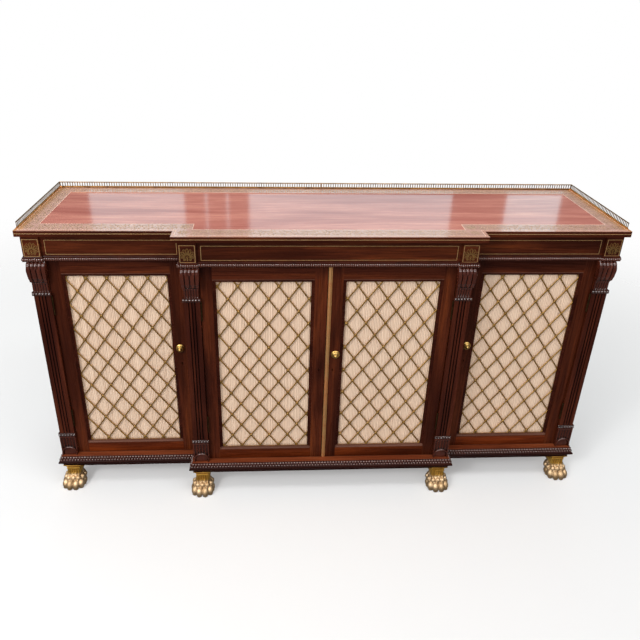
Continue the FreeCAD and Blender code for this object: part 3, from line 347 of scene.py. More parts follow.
def border_ground(name):
    """Polished ground in which the darker foliage lies, painted pale and pinkish as a painted reflection on
    its wood, warmer toward both ends of the top.
    """
    material, tree, surface = new_finish(name, Specular_IOR_Level=0.5)
    place = object_place(tree)
    colour, streaks, _ = figured(tree, place, GROUND_REFLECTION_SHADES, 2.5)
    away = maths(tree, "ABSOLUTE", axes_of(tree, place)[0])
    end = span(tree, away, *BORDER_ENDS_X)
    coloured(tree, surface, blend_colours(tree, end, colour, BORDER_END_TINT, "MULTIPLY"))
    rough_between(tree, surface, streaks, 0.08, 0.16)
    return material


SILK_THREADS = (rgb(0.68, 0.500, 0.360), rgb(0.79, 0.610, 0.47))
SILK_CLOUD = rgb(0.74, 0.52, 0.375)
SILK_SHADOW = rgb(0.46, 0.29, 0.17)


def pleated_silk(name):
    """Cream silk: slubbed threads along the pleats, a soft sheen, and painted shade in the pleats' valleys.
    """
    material, tree, surface = new_finish(name, Specular_IOR_Level=0.25, Sheen_Weight=0.25,
                                         Sheen_Roughness=0.4)
    place = object_place(tree)
    slub = noise(tree, stretched(tree, place, (900.0, 900.0, 14.0)), 3.0, 0.6)
    cloud = noise(tree, stretched(tree, place, (5.0, 5.0, 3.0)))
    weft = noise(tree, stretched(tree, place, (300.0, 300.0, 2200.0)), 1.0)
    colour = blend_colours(tree, ramp(tree, slub, [(0.3, 0.0), (0.7, 1.0)]), *SILK_THREADS)
    colour = blend_colours(tree, ramp(tree, cloud, [(0.35, 0.0), (0.75, 0.35)]), colour, SILK_CLOUD)
    # Painted shade in the valleys of the pleats.
    colour = paint_shade(tree, colour, attribute(tree, "hollow"), 0.45, SILK_SHADOW)
    coloured(tree, surface, colour)
    rough_between(tree, surface, slub, 0.55, 0.75)
    bumped(tree, surface, maths(tree, "ADD", slub, times(tree, weft, 0.5)), 0.25, 0.0002)
    return material


FRONT = ((0.026, 0.0048, 0.0022), (0.082, 0.0160, 0.0054), (0.165, 0.036, 0.008))
SHAFT = ((0.024, 0.0046, 0.0026), (0.068, 0.0138, 0.0062), (0.120, 0.027, 0.009))
CARVED = ((0.020, 0.0038, 0.0022), (0.042, 0.0082, 0.0040), (0.074, 0.0160, 0.0066))
REEDS = (CARVED[1], (0.066, 0.0135, 0.0068), (0.11, 0.026, 0.012))
# Beads paler and pinker than the carved wood: a painted highlight.
BEAD_HIGHLIGHT_SHADES = (CARVED[2], (0.085, 0.028, 0.019), (0.17, 0.066, 0.050))
SHADED = ((0.011, 0.0022, 0.0014), (0.023, 0.0044, 0.0024), (0.042, 0.0090, 0.0040))
# Paler, pinker shades for the top and bottom of the door edging: a painted highlight.
EDGING_HIGHLIGHT_SHADES = ((0.085, 0.034, 0.022), (0.14, 0.060, 0.040), (0.20, 0.095, 0.066))
# Paler, warmer shades for the plinth's upward ledge: a painted highlight where light falls.
LEDGE_HIGHLIGHT_SHADES = ((0.09, 0.020, 0.008), (0.17, 0.036, 0.012), (0.28, 0.075, 0.026))
TOP = ((0.37, 0.110, 0.085), (0.58, 0.225, 0.172), (0.72, 0.33, 0.235))
DEAL = ((0.26, 0.14, 0.07), (0.42, 0.25, 0.13), (0.56, 0.37, 0.21))
WAXED = ((0.035, 0.010, 0.006), (0.08, 0.024, 0.012), (0.14, 0.05, 0.025))
FINE_POLISH = {"breadth": 1.6, "rough": (0.12, 0.2)}

upright_wood = polished_wood("rosewood_upright", FRONT, upright=True)
level_wood = polished_wood("rosewood_level", FRONT, shift=0.37)
plinth_wood = ledged_wood("rosewood_plinth", LEDGE_HIGHLIGHT_SHADES, SHADED, 0.0, 0.1247)
edging_wood = ledged_wood("rosewood_door_edging", EDGING_HIGHLIGHT_SHADES, CARVED, 0.1723, 0.7842)
wing_door_wood = polished_wood("rosewood_wing_doors", FRONT, rails=(0.4609, 0.7715, 2.0), shift=0.2)
centre_door_wood = polished_wood("rosewood_centre_doors", FRONT, rails=(0.0417, 0.3355, 1.2), shift=0.55)
carved_wood = polished_wood("rosewood_carved", REEDS, upright=True, gloss=0.3, coat=0.3, hollow_shade=1.0,
                            **FINE_POLISH)
beading_wood = polished_wood("rosewood_beading", CARVED, upright=True, breadth=1.6, gloss=0.05)
bead_wood = polished_wood("rosewood_beads", BEAD_HIGHLIGHT_SHADES, gloss=0.5, coat=0.9, **FINE_POLISH)
collar_wood = polished_wood("rosewood_collars", CARVED, upright=True, gloss=0.4, coat=0.9, **FINE_POLISH)
shaft_wood = polished_wood("rosewood_shafts", SHAFT, upright=True, shift=0.13,
                           grooves=(0.3958, 0.8318, 0.00875, 0.0017))
top_wood = slab_wood("mahogany_top", TOP, (FRONT[0], SHAFT[1], FRONT[2]), rgb(0.50, 0.27, 0.20),
                     rgb(0.47, 0.22, 0.09))
inlay_ground = border_ground("boulle_ground")
plain_wood = polished_wood("carcass_deal", DEAL, rough=(0.6, 0.8), gloss=0.2)
waxed_wood = polished_wood("mahogany_waxed", WAXED, upright=True, rough=(0.4, 0.55), gloss=0.1)

# Toward the gallery's ends, past |x| 0.862, the brass gets a painted highlight, brighter and bluer.
gallery_brass = worn_metal("gallery_brass", (0.105, 0.043, 0.011), (0.19, 0.088, 0.025),
                           tints=[("x", 0.860, 0.862, (3.8, 3.9, 4.2))])
sheet_brass = worn_metal("gallery_sheet_brass", (0.16, 0.10, 0.05), (0.34, 0.22, 0.11))
string_brass = worn_metal("string_brass", (0.74, 0.42, 0.17), (1.0, 0.68, 0.31), 90.0, (0.6, 0.46))
inlay_brass = worn_metal("inlaid_brass", (0.44, 0.255, 0.080), (0.69, 0.445, 0.158), 90.0, (0.6, 0.46))
# Toward the stringing's top face, above z 0.929, the brass gets a painted highlight, brighter and bluer.
line_brass = worn_metal("top_line_brass", (0.56, 0.34, 0.15), (0.76, 0.50, 0.26), 60.0, (0.7, 0.55),
                        tints=[("z", 0.9290, 0.9296, (1.42, 1.62, 2.6))])
foliage_brass = worn_metal("foliage_brass", (0.54, 0.35, 0.22), (0.74, 0.50, 0.33), 60.0, (0.6, 0.5))
rosette_brass = worn_metal("rosette_brass", (0.22, 0.125, 0.032), (0.38, 0.23, 0.075), 90.0, (0.65, 0.5))
astragal_brass = worn_metal("astragal_brass", (0.66, 0.295, 0.118), (0.74, 0.445, 0.190), 30.0, (0.72, 0.6))
grille_brass = worn_metal("grille_brass", (0.33, 0.182, 0.046), (0.66, 0.396, 0.121), 55.0)
# The paws darken with a painted shade toward the sole, and are tinted olive above z 0.047.
gilt_brass = worn_metal("gilt_brass", (0.37, 0.236, 0.114), (0.615, 0.448, 0.274), 35.0, (0.66, 0.54),
                        hollow_shade=0.8, tints=[("z", 0.040, 0.047, (1.18, 0.98, 0.345)),
                                            ("z", 0.005, 0.002, (0.30, 0.24, 0.18))])
knob_brass = worn_metal("knob_brass", (0.33, 0.197, 0.049), (0.59, 0.390, 0.130), 70.0, (0.46, 0.34))
hinge_brass = worn_metal("hinge_brass", (0.03, 0.017, 0.008), (0.10, 0.055, 0.022), 80.0, (0.6, 0.5))
bright_steel = worn_metal("bolt_steel", (0.25, 0.24, 0.23), (0.55, 0.54, 0.52), 90.0, (0.42, 0.2))
cream_silk = pleated_silk("pleated_silk")


def finish_node(node, material):
    """Gives a carried-over solid its finish."""
    slots = nodes[node].data.materials
    slots.clear()
    slots.append(material)


DOORS = ("left_wing", "left_centre", "right_centre", "right_wing")
CARCASS_FINISHES = (
    (top_wood, ["top_board"]),
    (inlay_ground, ["top_border"]),
    (line_brass, ["top_stringing"]),
    (gallery_brass, ["gallery_base"]),
    (sheet_brass, ["gallery_rail", "gallery_sheet"]),
    (upright_wood, ["corner_posts", "uprights"]),
    (level_wood, ["frieze_boards", "frieze_blocks"]),
    (string_brass, ["frieze_stringing"]),
    (inlay_brass, ["block_palmettes"]),
    (beading_wood, ["bead_moulding"]),
    (shaft_wood, ["pilaster_shafts"]),
    (collar_wood, ["collars"]),
    (carved_wood, ["console_heads", "pilaster_bases"]),
    (plinth_wood, ["plinth_moulding"]),
    (gilt_brass, ["paw_feet"]),
    (plain_wood, ["back_panels", "shelves"]),
    (waxed_wood, ["plinth_rails", "back_feet", "floor_boards", "shelf_pegs", "door_stops"]),
    (hinge_brass, ["hinge_pins", "hinge_plates"]),
)
DOOR_FINISHES = (
    (edging_wood, ["beading"]),
    (grille_brass, ["grille"]),
    (hinge_brass, ["hinge_leaves", "lock"]),
    (knob_brass, ["knob"]),
    (bright_steel, ["lock_bolt", "upper_bolt", "lower_bolt"]),
    (cream_silk, ["silk"]),
    (astragal_brass, ["astragal"]),
)
for material, names in CARCASS_FINISHES:
    for node in names:
        finish_node(node, material)
for door in DOORS:
    finish_node(door + "_frame", wing_door_wood if "wing" in door else centre_door_wood)
    for material, names in DOOR_FINISHES:
        for node in [f"{door}_{part}" for part in names if f"{door}_{part}" in nodes]:
            finish_node(node, material)


# ---------------- mesh helpers
def baked(mesh, name):
    """Mesh data of a finished bmesh."""
    data = bpy.data.meshes.new(name)
    mesh.to_mesh(data)
    mesh.free()
    return data


def placed(name, data):
    """New object in the scene."""
    piece = bpy.data.objects.new(name, data)
    bpy.context.scene.collection.objects.link(piece)
    return piece


def close_piece(name, mesh, material, body, smooth=40.0, standing_for=()):
    """Turns a bmesh into a finished piece of the cabinet."""
    data = baked(mesh, name)
    data.materials.append(material)
    data.shade_smooth()
    data.set_sharp_from_angle(angle=math.radians(smooth))
    piece = placed(name, data)
    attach(piece, body)
    if standing_for:
        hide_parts(*standing_for)
    return piece


def face_out(mesh):
    bmesh.ops.recalc_face_normals(mesh, faces=mesh.faces)


def thicken(mesh, depth):
    """Gives flat shapes the depth of a leaf of brass, behind the side that faces out."""
    face_out(mesh)
    bmesh.ops.solidify(mesh, geom=mesh.faces[:], thickness=depth)
    face_out(mesh)


def turned(degrees, axis):
    return Matrix.Rotation(math.radians(degrees), 4, axis)


def add_to(mesh, part):
    """Moves a finished part into a larger mesh."""
    data = baked(part, "part")
    mesh.from_mesh(data)
    bpy.data.meshes.remove(data)


def cut_off(mesh, point, normal, near=1e-6):
    """Takes away what lies beyond a plane and closes the cut."""
    bmesh.ops.bisect_plane(mesh, geom=mesh.verts[:] + mesh.edges[:] + mesh.faces[:], dist=near,
                           plane_co=point, plane_no=normal, clear_outer=True)
    bmesh.ops.holes_fill(mesh, edges=[edge for edge in mesh.edges if edge.is_boundary], sides=0)


def both_sides(right_half):
    """Full plan path from back left to back right, from its right-hand half."""
    return [(-x, y) for x, y in reversed(right_half)] + list(right_half)


def offset_path(points, reach):
    """Plan path moved outward, to the right of its direction, with mitred corners."""
    corners = [Vector((x, y)) for x, y in points]
    sides = [(b - a).normalized() for a, b in zip(corners, corners[1:])]
    normals = [Vector((t.y, -t.x)) for t in sides]
    moved = []
    for i, corner in enumerate(corners):
        before = normals[max(i - 1, 0)]
        after = normals[min(i, len(normals) - 1)]
        moved.append(corner + (before + after) * (reach / (1.0 + before.dot(after))))
    return moved


def string_beads(mesh, points, reach, z, radius, pitch, tall):
    """Beads along a plan path, evenly spaced on each straight run; tall stretches them upward."""
    line = offset_path(points, reach)
    for a, b in zip(line, line[1:]):
        count = max(1, round((b - a).length / pitch))
        for i in range(count):
            spot = a.lerp(b, (i + 0.5) / count)
            shape = Matrix.Translation((spot.x, spot.y, z)) @ Matrix.Diagonal((1.0, 1.0, tall, 1.0))
            bmesh.ops.create_icosphere(mesh, subdivisions=2, radius=radius, matrix=shape)


def mark_hollows(data, rounds, reach):
    """Stores how deep each point lies below its smoothed neighbourhood, from 0 to 1."""
    mesh = bmesh.new()
    mesh.from_mesh(data)
    mesh.verts.ensure_lookup_table()
    start = [vert.co.copy() for vert in mesh.verts]
    normals = [vert.normal.copy() for vert in mesh.verts]
    for _ in range(rounds):
        bmesh.ops.smooth_vert(mesh, verts=mesh.verts, factor=0.5, use_axis_x=True, use_axis_y=True,
                              use_axis_z=True)
    # The finishes darken by this attribute: a painted shade in the hollows.
    layer = data.attributes.new("hollow", "FLOAT", "POINT")
    for i, vert in enumerate(mesh.verts):
        sunk = (vert.co - start[i]).dot(normals[i]) / reach
        layer.data[i].value = min(max(sunk, 0.0), 1.0)
    mesh.free()


# ---------------- bead rows
FRIEZE_PATH = both_sides([
    (0.3745, -0.181), (0.3745, -0.187), (0.4245, -0.187), (0.4245, -0.139), (0.8135, -0.139),
    (0.8135, -0.145), (0.8635, -0.145), (0.8635, -0.095), (0.858, -0.095), (0.858, 0.2205),
])
PLINTH_PATH = both_sides([(0.4075, -0.178), (0.4075, -0.136), (0.8395, -0.136), (0.8395, 0.2205)])
BEAD_ROWS = {  # path, reach, height, radius, pitch and upward stretch of each row
    "frieze_beads": [(FRIEZE_PATH, 0.0036, 0.8350, 0.0033, 0.0063, 1.45)],
    "plinth_beads": [(PLINTH_PATH, 0.0240, 0.1128, 0.0034, 0.0092, 1.0),
                     (PLINTH_PATH, 0.0204, 0.1194, 0.0041, 0.0092, 1.1)],
}
for name, rows in BEAD_ROWS.items():
    beads = bmesh.new()
    for row in rows:
        string_beads(beads, *row)
    close_piece(name, beads, bead_wood, "carcass", smooth=180.0)


# ---------------- carved blocks
def smooth_between(value, points):
    """Smooth curve through (place, value) points in rising order."""
    if value <= points[0][0]:
        return points[0][1]
    for (a, low), (b, high) in zip(points, points[1:]):
        if value <= b:
            share = (value - a) / (b - a)
            return low + (high - low) * (3.0 - 2.0 * share) * share * share
    return points[-1][1]


def dome(distance, reach):
    """Height of a half round, 1 in its middle and 0 at its reach."""
    share = distance / reach
    return math.sqrt(1.0 - share * share) if abs(share) < 1.0 else 0.0


def carve_front(mesh, centre_x, face_y, foot, height, half_width, depth, columns, rows):
    """Closed carved block: a grid pushed out from the post, with its sides taken back to it.

    half_width(h) and depth(x, h) are in millimetres, at height h over the block's foot.
    """
    made = bmesh.ops.create_grid(mesh, x_segments=columns, y_segments=rows, size=1.0)
    verts = made["verts"]
    for vert in verts:
        h = (vert.co.y + 1.0) / 2.0 * height
        x = vert.co.x * half_width(h)
        vert.co = Vector((centre_x + x * MM, face_y - depth(x, h) * MM, (foot + h) * MM))
    faces = list({face for vert in verts for face in vert.link_faces})
    rim = [edge for edge in {edge for face in faces for edge in face.edges} if edge.is_boundary]
    wall = bmesh.ops.extrude_edge_only(mesh, edges=rim)["geom"]
    for item in wall:
        if isinstance(item, bmesh.types.BMVert):
            item.co.y = face_y
    back = [item for item in wall if isinstance(item, bmesh.types.BMEdge) and item.is_boundary]
    bmesh.ops.holes_fill(mesh, edges=back, sides=0)


CONSOLE_HEIGHT = 99.5
CONSOLE_CURVE = [(0.0, 4.6), (24.0, 6.2), (31.0, 8.6), (38.0, 14.4), (52.0, 18.4), (70.0, 20.4), (82.0, 20.6),
                 (88.0, 19.0), (93.0, 15.6), (97.0, 10.6), (99.5, 8.0)]
CONSOLE_HALVES = [(0.0, 21.0), (28.0, 21.4), (40.0, 24.0), (60.0, 25.6), (83.0, 27.0), (99.5, 27.0)]
LOBES, LOBE_PITCH, LOBE_HALF = 5, 10.6, 5.3
REED_PLACE, REED_HALF = 7.2, 6.3
TAIL_GROOVES, GROOVE_WIDTH = (0.0, 7.5, 15.0), 1.3


def console_half_width(h):
    return smooth_between(h, CONSOLE_HALVES)


def console_depth(x, h):
    """Carved face of a console: five lobes curl over at the head, two fat reeds with round feet stand under
    them between flat borders, and the tail is grooved."""
    nearest = min(max(round(x / LOBE_PITCH + (LOBES - 1) / 2.0), 0), LOBES - 1) - (LOBES - 1) / 2.0
    lobe = smooth_between(h, [(72.0, 0.0), (86.0, 4.4)]) * (dome(x - nearest * LOBE_PITCH, LOBE_HALF) - 1.0)
    half = REED_HALF * math.sqrt(min(max(h - 33.0, 0.01) / 14.0, 1.0))
    raised = max(dome(abs(x) - REED_PLACE, half) ** 0.7, smooth_between(abs(x), [(14.6, 0.0), (17.0, 1.0)]))
    cut = smooth_between(h, [(27.0, 0.0), (36.0, 4.2), (74.0, 4.2), (84.0, 0.0)]) * (1.0 - raised)
    tail = sum(math.exp(-((abs(x) - place) / GROOVE_WIDTH) ** 2) for place in TAIL_GROOVES)
    tail *= 1.8 * smooth_between(h, [(26.0, 1.0), (33.0, 0.0)])
    return smooth_between(h, CONSOLE_CURVE) + lobe - cut - tail


BASE_HEIGHT = 74.0
BASE_PROUD = 11.5
HEAD_BAND_FOOT = 70.0
ARCH_CENTRE, ARCH_REACH = 10.0, 24.2
RIM_PLACE, RIM_HALF = 22.0, 2.2
DOME_REACH = 19.0
FLUTES, FLUTE_PITCH, FLUTE_HALF = 5, 9.2, 3.2


def base_depth(x, h):
    """Carved face of a base block: a flat head band, five flutes under it, and a round-headed arch about a
    low dome at the foot."""
    far = math.hypot(x, h - ARCH_CENTRE) if h > ARCH_CENTRE else abs(x)
    if far < ARCH_REACH:
        sunk = 2.6 if far < RIM_PLACE - RIM_HALF else 0.0
        return BASE_PROUD + 0.6 - sunk + 3.8 * dome(far - RIM_PLACE, RIM_HALF) + 2.4 * dome(far, DOME_REACH)
    if h > HEAD_BAND_FOOT:
        return BASE_PROUD + 0.4
    place = x / FLUTE_PITCH + (FLUTES - 1) / 2.0
    nearest = min(max(round(place), 0), FLUTES - 1)
    cut = dome((place - nearest) * FLUTE_PITCH, FLUTE_HALF)
    return BASE_PROUD - 3.0 * cut * math.sqrt(min(1.0, (HEAD_BAND_FOOT - h) / 3.0))


WING_FACE, CENTRE_FACE = -0.136, -0.178
CARVED_BLOCKS = (  # name, plain node, places, foot, height, half width, depth and columns
    ("carved_consoles", "console_heads", ((832.35, WING_FACE), (396.35, CENTRE_FACE)), 730.0, CONSOLE_HEIGHT,
     console_half_width, console_depth, 72),
    ("carved_bases", "pilaster_bases", ((831.8, WING_FACE), (395.8, CENTRE_FACE)), 126.0, BASE_HEIGHT,
     lambda h: 25.0, base_depth, 90),
)
CARVED_ROWS = 110
for name, plain, places, foot, height, half_width, depth, columns in CARVED_BLOCKS:
    carving = bmesh.new()
    for x, face in places:
        for side in (-1, 1):
            carve_front(carving, side * x * MM, face, foot, height, half_width, depth, columns, CARVED_ROWS)
    face_out(carving)
    piece = close_piece(name, carving, carved_wood, "carcass", 50.0, [plain])
    mark_hollows(piece.data, 24, 0.0008)


# ---------------- paw feet
PAW_PLACES = ((831.5, -0.1535), (397.0, -0.1955))


def ball(mesh, x, y, z, radius, scale=(1.0, 1.0, 1.0), tilt=0.0):
    place = Matrix.Translation((x, y, z)) @ turned(tilt, "X")
    shape = place @ Matrix.Diagonal((radius * scale[0], radius * scale[1], radius * scale[2], 1.0))
    bmesh.ops.create_uvsphere(mesh, u_segments=24, v_segments=16, radius=1.0, matrix=shape)


def limb(mesh, start, end, thick, thin):
    """Tapered round limb between two points, in millimetres."""
    a, b = Vector(start), Vector(end)
    turn = (b - a).to_track_quat("Z", "Y").to_matrix().to_4x4()
    place = Matrix.Translation((a + b) / 2.0) @ turn
    bmesh.ops.create_cone(mesh, cap_ends=True, segments=24, radius1=thick, radius2=thin, depth=(b - a).length,
                          matrix=place)
    ball(mesh, *a, thick)
    ball(mesh, *b, thin)


def block(mesh, low, high):
    """Box between two corners, merged into the carved skin later on."""
    size = [b - a for a, b in zip(low, high)]
    middle = [(a + b) / 2.0 for a, b in zip(low, high)]
    bmesh.ops.create_cube(mesh, size=1.0, matrix=Matrix.Translation(middle) @ Matrix.Diagonal((*size, 1.0)))


PAW_TOES = ((9.8, -14.8, 14.2, 11.8, 15.6), (25.2, -6.4, 13.6, 11.0, 15.0), (29.6, 10.0, 12.4, 9.4, 13.2))
PAW_TUFTS = ((0.0, -2.6, 30.6, 8.4), (15.6, -1.4, 30.0, 8.4), (26.6, 9.6, 27.4, 8.2), (28.2, 25.0, 25.0, 8.4))
NECK_HALF = 19.0
NECK_MIDDLE = 28.0
RING_FOOT = 63.4
FLARE_STEPS = 15
NECK_REEDS = (-15.2, -7.6, 0.0, 7.6, 15.2)
PAW_SOLE, PAW_HEAD = 0.3, 84.2


def rough_paw():
    """Lion paw about x = 0 in millimetres: round toes, tufts of fur, a reeded square neck, a ring and a cap
    that flares out."""
    mesh = bmesh.new()
    for side in (-1, 1):
        for x, y, z, wide, tall in PAW_TOES:
            ball(mesh, side * x, y, z, 1.0, (wide, 12.6, tall), -34.0)
            ball(mesh, side * x, y - 8.6, 4.6, 4.8, (1.7, 1.0, 1.0))
        for x, y, z, size in PAW_TUFTS:
            ball(mesh, side * x, y, z, size, (0.98, 0.95, 1.1), -24.0)
        for x in (5.4, 16.2):
            limb(mesh, (side * x, 3.2, 34.0), (side * x, 8.0, 48.0), 4.4, 1.0)
            limb(mesh, (side * 23.6, 33.4 - x, 32.0), (side * 20.0, 33.4 - x, 47.0), 4.4, 1.0)
    ball(mesh, 0.0, 14.0, 22.0, 25.0, (1.25, 0.95, 0.80))
    ball(mesh, 0.0, 31.0, 19.0, 22.0, (1.42, 1.1, 0.82))
    ball(mesh, 0.0, 28.0, 33.0, 23.0, (0.94, 0.94, 0.58))
    block(mesh, (-NECK_HALF, NECK_MIDDLE - NECK_HALF, 36.0), (NECK_HALF, NECK_MIDDLE + NECK_HALF, 75.0))
    for along in NECK_REEDS:
        low, high = along * 1.08, along
        for out in (-1, 1):
            foot, head = out * (NECK_HALF + 1.2), out * NECK_HALF
            limb(mesh, (low, NECK_MIDDLE + foot, 40.0), (high, NECK_MIDDLE + head, 62.0), 3.4, 1.8)
            limb(mesh, (foot, NECK_MIDDLE + low, 40.0), (head, NECK_MIDDLE + high, 62.0), 3.4, 1.8)
    half = NECK_HALF + 2.6
    block(mesh, (-half, NECK_MIDDLE - half, RING_FOOT), (half, NECK_MIDDLE + half, RING_FOOT + 2.8))
    for i in range(FLARE_STEPS):
        share = i / (FLARE_STEPS - 1.0)
        half = NECK_HALF + 1.0 + 8.2 * share * share
        block(mesh, (-half, NECK_MIDDLE - half, RING_FOOT + 3.0 + 16.0 * share),
              (half, NECK_MIDDLE + half, 85.0))
    return mesh


def fused(mesh, name, grain):
    """One closed skin over the overlapping shapes of a rough, as fine as the grain in millimetres."""
    rough = placed(name, baked(mesh, name))
    skin = rough.modifiers.new("skin", "REMESH")
    skin.mode = "VOXEL"
    skin.voxel_size = grain
    ease = rough.modifiers.new("ease", "SMOOTH")
    ease.factor = 0.5
    ease.iterations = 2
    view = bpy.context.evaluated_depsgraph_get()
    joined = bpy.data.meshes.new_from_object(rough.evaluated_get(view))
    bpy.data.objects.remove(rough)
    return joined


def make_paws():
    skin = fused(rough_paw(), "rough_paw", 1.25)
    mesh = bmesh.new()
    for x, cap_front in PAW_PLACES:
        for side in (-1, 1):
            part = bmesh.new()
            part.from_mesh(skin)
            cut_off(part, (0.0, 0.0, PAW_SOLE), (0.0, 0.0, -1.0), 0.001)
            cut_off(part, (0.0, 0.0, PAW_HEAD), (0.0, 0.0, 1.0), 0.001)
            for vert in part.verts:
                vert.co = Vector((side * x + side * vert.co.x, vert.co.y, vert.co.z - PAW_SOLE)) * MM
                vert.co.y += cap_front
            add_to(mesh, part)
    face_out(mesh)
    piece = close_piece("lion_paws", mesh, gilt_brass, "carcass", 180.0, ["paw_feet"])
    mark_hollows(piece.data, 6, 0.0006)


make_paws()


# ---------------- silk behind the grilles
OPENING_FOOT = 0.1718
OPENING_HEAD = 0.7775


class Panel:
    """Opening of one door, in metres; the anchor is one crossing of its grille."""

    def __init__(self, door, inner, outer, face, anchor):
        self.door, self.face, self.anchor = door, face, anchor
        self.inner, self.outer = inner, outer
        self.side = -1.0 if door.startswith("left") else 1.0


WING_OPENING = (0.4704, 0.762, -0.1355, (0.6162, 0.4736))
CENTRE_OPENING = (0.0502, 0.326, -0.1775, (0.057, 0.4678))
PANELS_BY_DOOR = [Panel(door, *(WING_OPENING if "wing" in door else CENTRE_OPENING)) for door in DOORS]
SILK_OVERLAP = 0.0068
SILK_CENTRE = 0.0108
PLEAT = 0.0048
PLEAT_COLUMNS = 8
SILK_ROWS = 48


def make_silk(panel, seed):
    """Pleated cloth on its frame: narrow uneven pleats from top to bottom."""
    draw = random.Random(seed)
    x0 = panel.inner - SILK_OVERLAP
    x1 = panel.outer + SILK_OVERLAP
    z0 = OPENING_FOOT - SILK_OVERLAP
    z1 = OPENING_HEAD + SILK_OVERLAP
    count = round((x1 - x0) / PLEAT)
    deep = [0.0008 + 0.0010 * draw.random() for _ in range(count + 1)]
    phase = [draw.random() * math.tau for _ in range(count + 1)]
    edges = [x0 + (x1 - x0) * (i + (0.5 * (draw.random() - 0.5) if 0 < i < count else 0.0)) / count
             for i in range(count + 1)]
    mesh = bmesh.new()
    columns = count * PLEAT_COLUMNS
    hollow = mesh.verts.layers.float.new("hollow")
    made = bmesh.ops.create_grid(mesh, x_segments=columns, y_segments=SILK_ROWS, size=1.0)
    middle = panel.face + SILK_CENTRE
    for vert in made["verts"]:
        place = min(max((vert.co.x + 1.0) / 2.0 * count, 0.0), count - 1e-6)
        i = int(place)
        within = place - i
        rise = (vert.co.y + 1.0) / 2.0
        x = edges[i] + (edges[i + 1] - edges[i]) * within
        fold = math.sin(within * math.pi) ** 0.8
        depth = deep[i] * (1.0 + 0.15 * math.sin(rise * 4.0 + phase[i]))
        vert.co = Vector((panel.side * x, middle + 0.0011 - fold * depth * 1.35, z0 + (z1 - z0) * rise))
        # Depth of the pleat's valley, by which the silk's finish paints shade.
        vert[hollow] = (1.0 - fold) ** 2
    if panel.side < 0:
        bmesh.ops.reverse_faces(mesh, faces=mesh.faces)
    piece = close_piece(panel.door + "_pleated_silk", mesh, cream_silk, panel.door + "_door", 180.0,
                        [panel.door + "_silk"])


for seed, panel in enumerate(PANELS_BY_DOOR):
    make_silk(panel, seed + 11)


# ---------------- grille strips and rosettes
HALF_X = 0.02955
HALF_Z = 0.0419
STRIP_WIDTH = 0.0041
GRILLE_FRONT = 0.006
RIBS = 16
CROSSING_ROWS = 16
RIB_LENGTH = 1.2
RIB_PLAY = 0.0002
BOSS_RADIUS = 0.0044


def make_lattice(panel):
    """Raised ribs along the grille's strips and a rosette on each crossing."""
    mesh = bmesh.new()
    front = panel.face + GRILLE_FRONT
    slope = math.atan2(HALF_Z, HALF_X)
    anchor_x, anchor_z = panel.anchor
    for lean, stand in ((-1, 0.0006), (1, 0.0009)):
        for k in range(-RIBS, RIBS + 1):
            place = Matrix.Translation((anchor_x + 2 * k * HALF_X, front, anchor_z))
            turn = Matrix.Rotation(-lean * slope, 4, "Y")
            size = Matrix.Diagonal((RIB_LENGTH, stand * 2.0, STRIP_WIDTH, 1.0))
            made = bmesh.ops.create_cube(mesh, size=1.0, matrix=place @ turn @ size)
            long_edges = [edge for edge in {edge for vert in made["verts"] for edge in vert.link_edges}
                          if edge.calc_length() > RIB_LENGTH / 2.0 and edge.verts[0].co.y < front]
            bmesh.ops.bevel(mesh, geom=long_edges, offset=stand * 0.9, offset_type="OFFSET", affect="EDGES",
                            segments=2, profile=0.5, material=-1)
    low, high = panel.inner + RIB_PLAY, panel.outer - RIB_PLAY
    cut_off(mesh, (low, 0, 0), (-1, 0, 0))
    cut_off(mesh, (high, 0, 0), (1, 0, 0))
    cut_off(mesh, (0, 0, OPENING_FOOT + RIB_PLAY), (0, 0, -1))
    cut_off(mesh, (0, 0, OPENING_HEAD - RIB_PLAY), (0, 0, 1))
    finish_lattice(panel, mesh, "_lattice_ribs", grille_brass)
    mesh = bmesh.new()
    across = int((high - low) / HALF_X) + 2
    first_i = math.ceil((low - anchor_x) / HALF_X)
    first_k = math.ceil((OPENING_FOOT - anchor_z) / HALF_Z)
    for i in range(first_i, first_i + across):
        for k in range(first_k, first_k + CROSSING_ROWS):
            x, z = anchor_x + i * HALF_X, anchor_z + k * HALF_Z
            inside = low + BOSS_RADIUS < x < high - BOSS_RADIUS
            inside = inside and OPENING_FOOT + BOSS_RADIUS < z < OPENING_HEAD - BOSS_RADIUS
            if (i + k) % 2 == 0 and inside:
                rosette(mesh, x, front, z)
    finish_lattice(panel, mesh, "_lattice_rosettes", rosette_brass)


def finish_lattice(panel, mesh, ending, material):
    if panel.side < 0:
        bmesh.ops.scale(mesh, vec=(-1.0, 1.0, 1.0), verts=mesh.verts)
    face_out(mesh)
    close_piece(panel.door + ending, mesh, material, panel.door + "_door", 50.0)


def rosette(mesh, x, front, z):
    """Small eight-lobed boss with a round eye."""
    face_on = Matrix.Translation((x, front - 0.0009, z)) @ turned(90.0, "X")
    made = bmesh.ops.create_cone(mesh, cap_ends=True, segments=16, radius1=BOSS_RADIUS,
                                 radius2=BOSS_RADIUS * 0.6, depth=0.0018, matrix=face_on)
    for i, vert in enumerate(made["verts"]):
        if (i // 2) % 2:
            vert.co.x = x + (vert.co.x - x) * 0.84
            vert.co.z = z + (vert.co.z - z) * 0.84
    eye = Matrix.Translation((x, front - 0.0016, z)) @ Matrix.Diagonal((1.0, 0.6, 1.0, 1.0))
    bmesh.ops.create_icosphere(mesh, subdivisions=1, radius=0.0018, matrix=eye)


for panel in PANELS_BY_DOOR:
    make_lattice(panel)


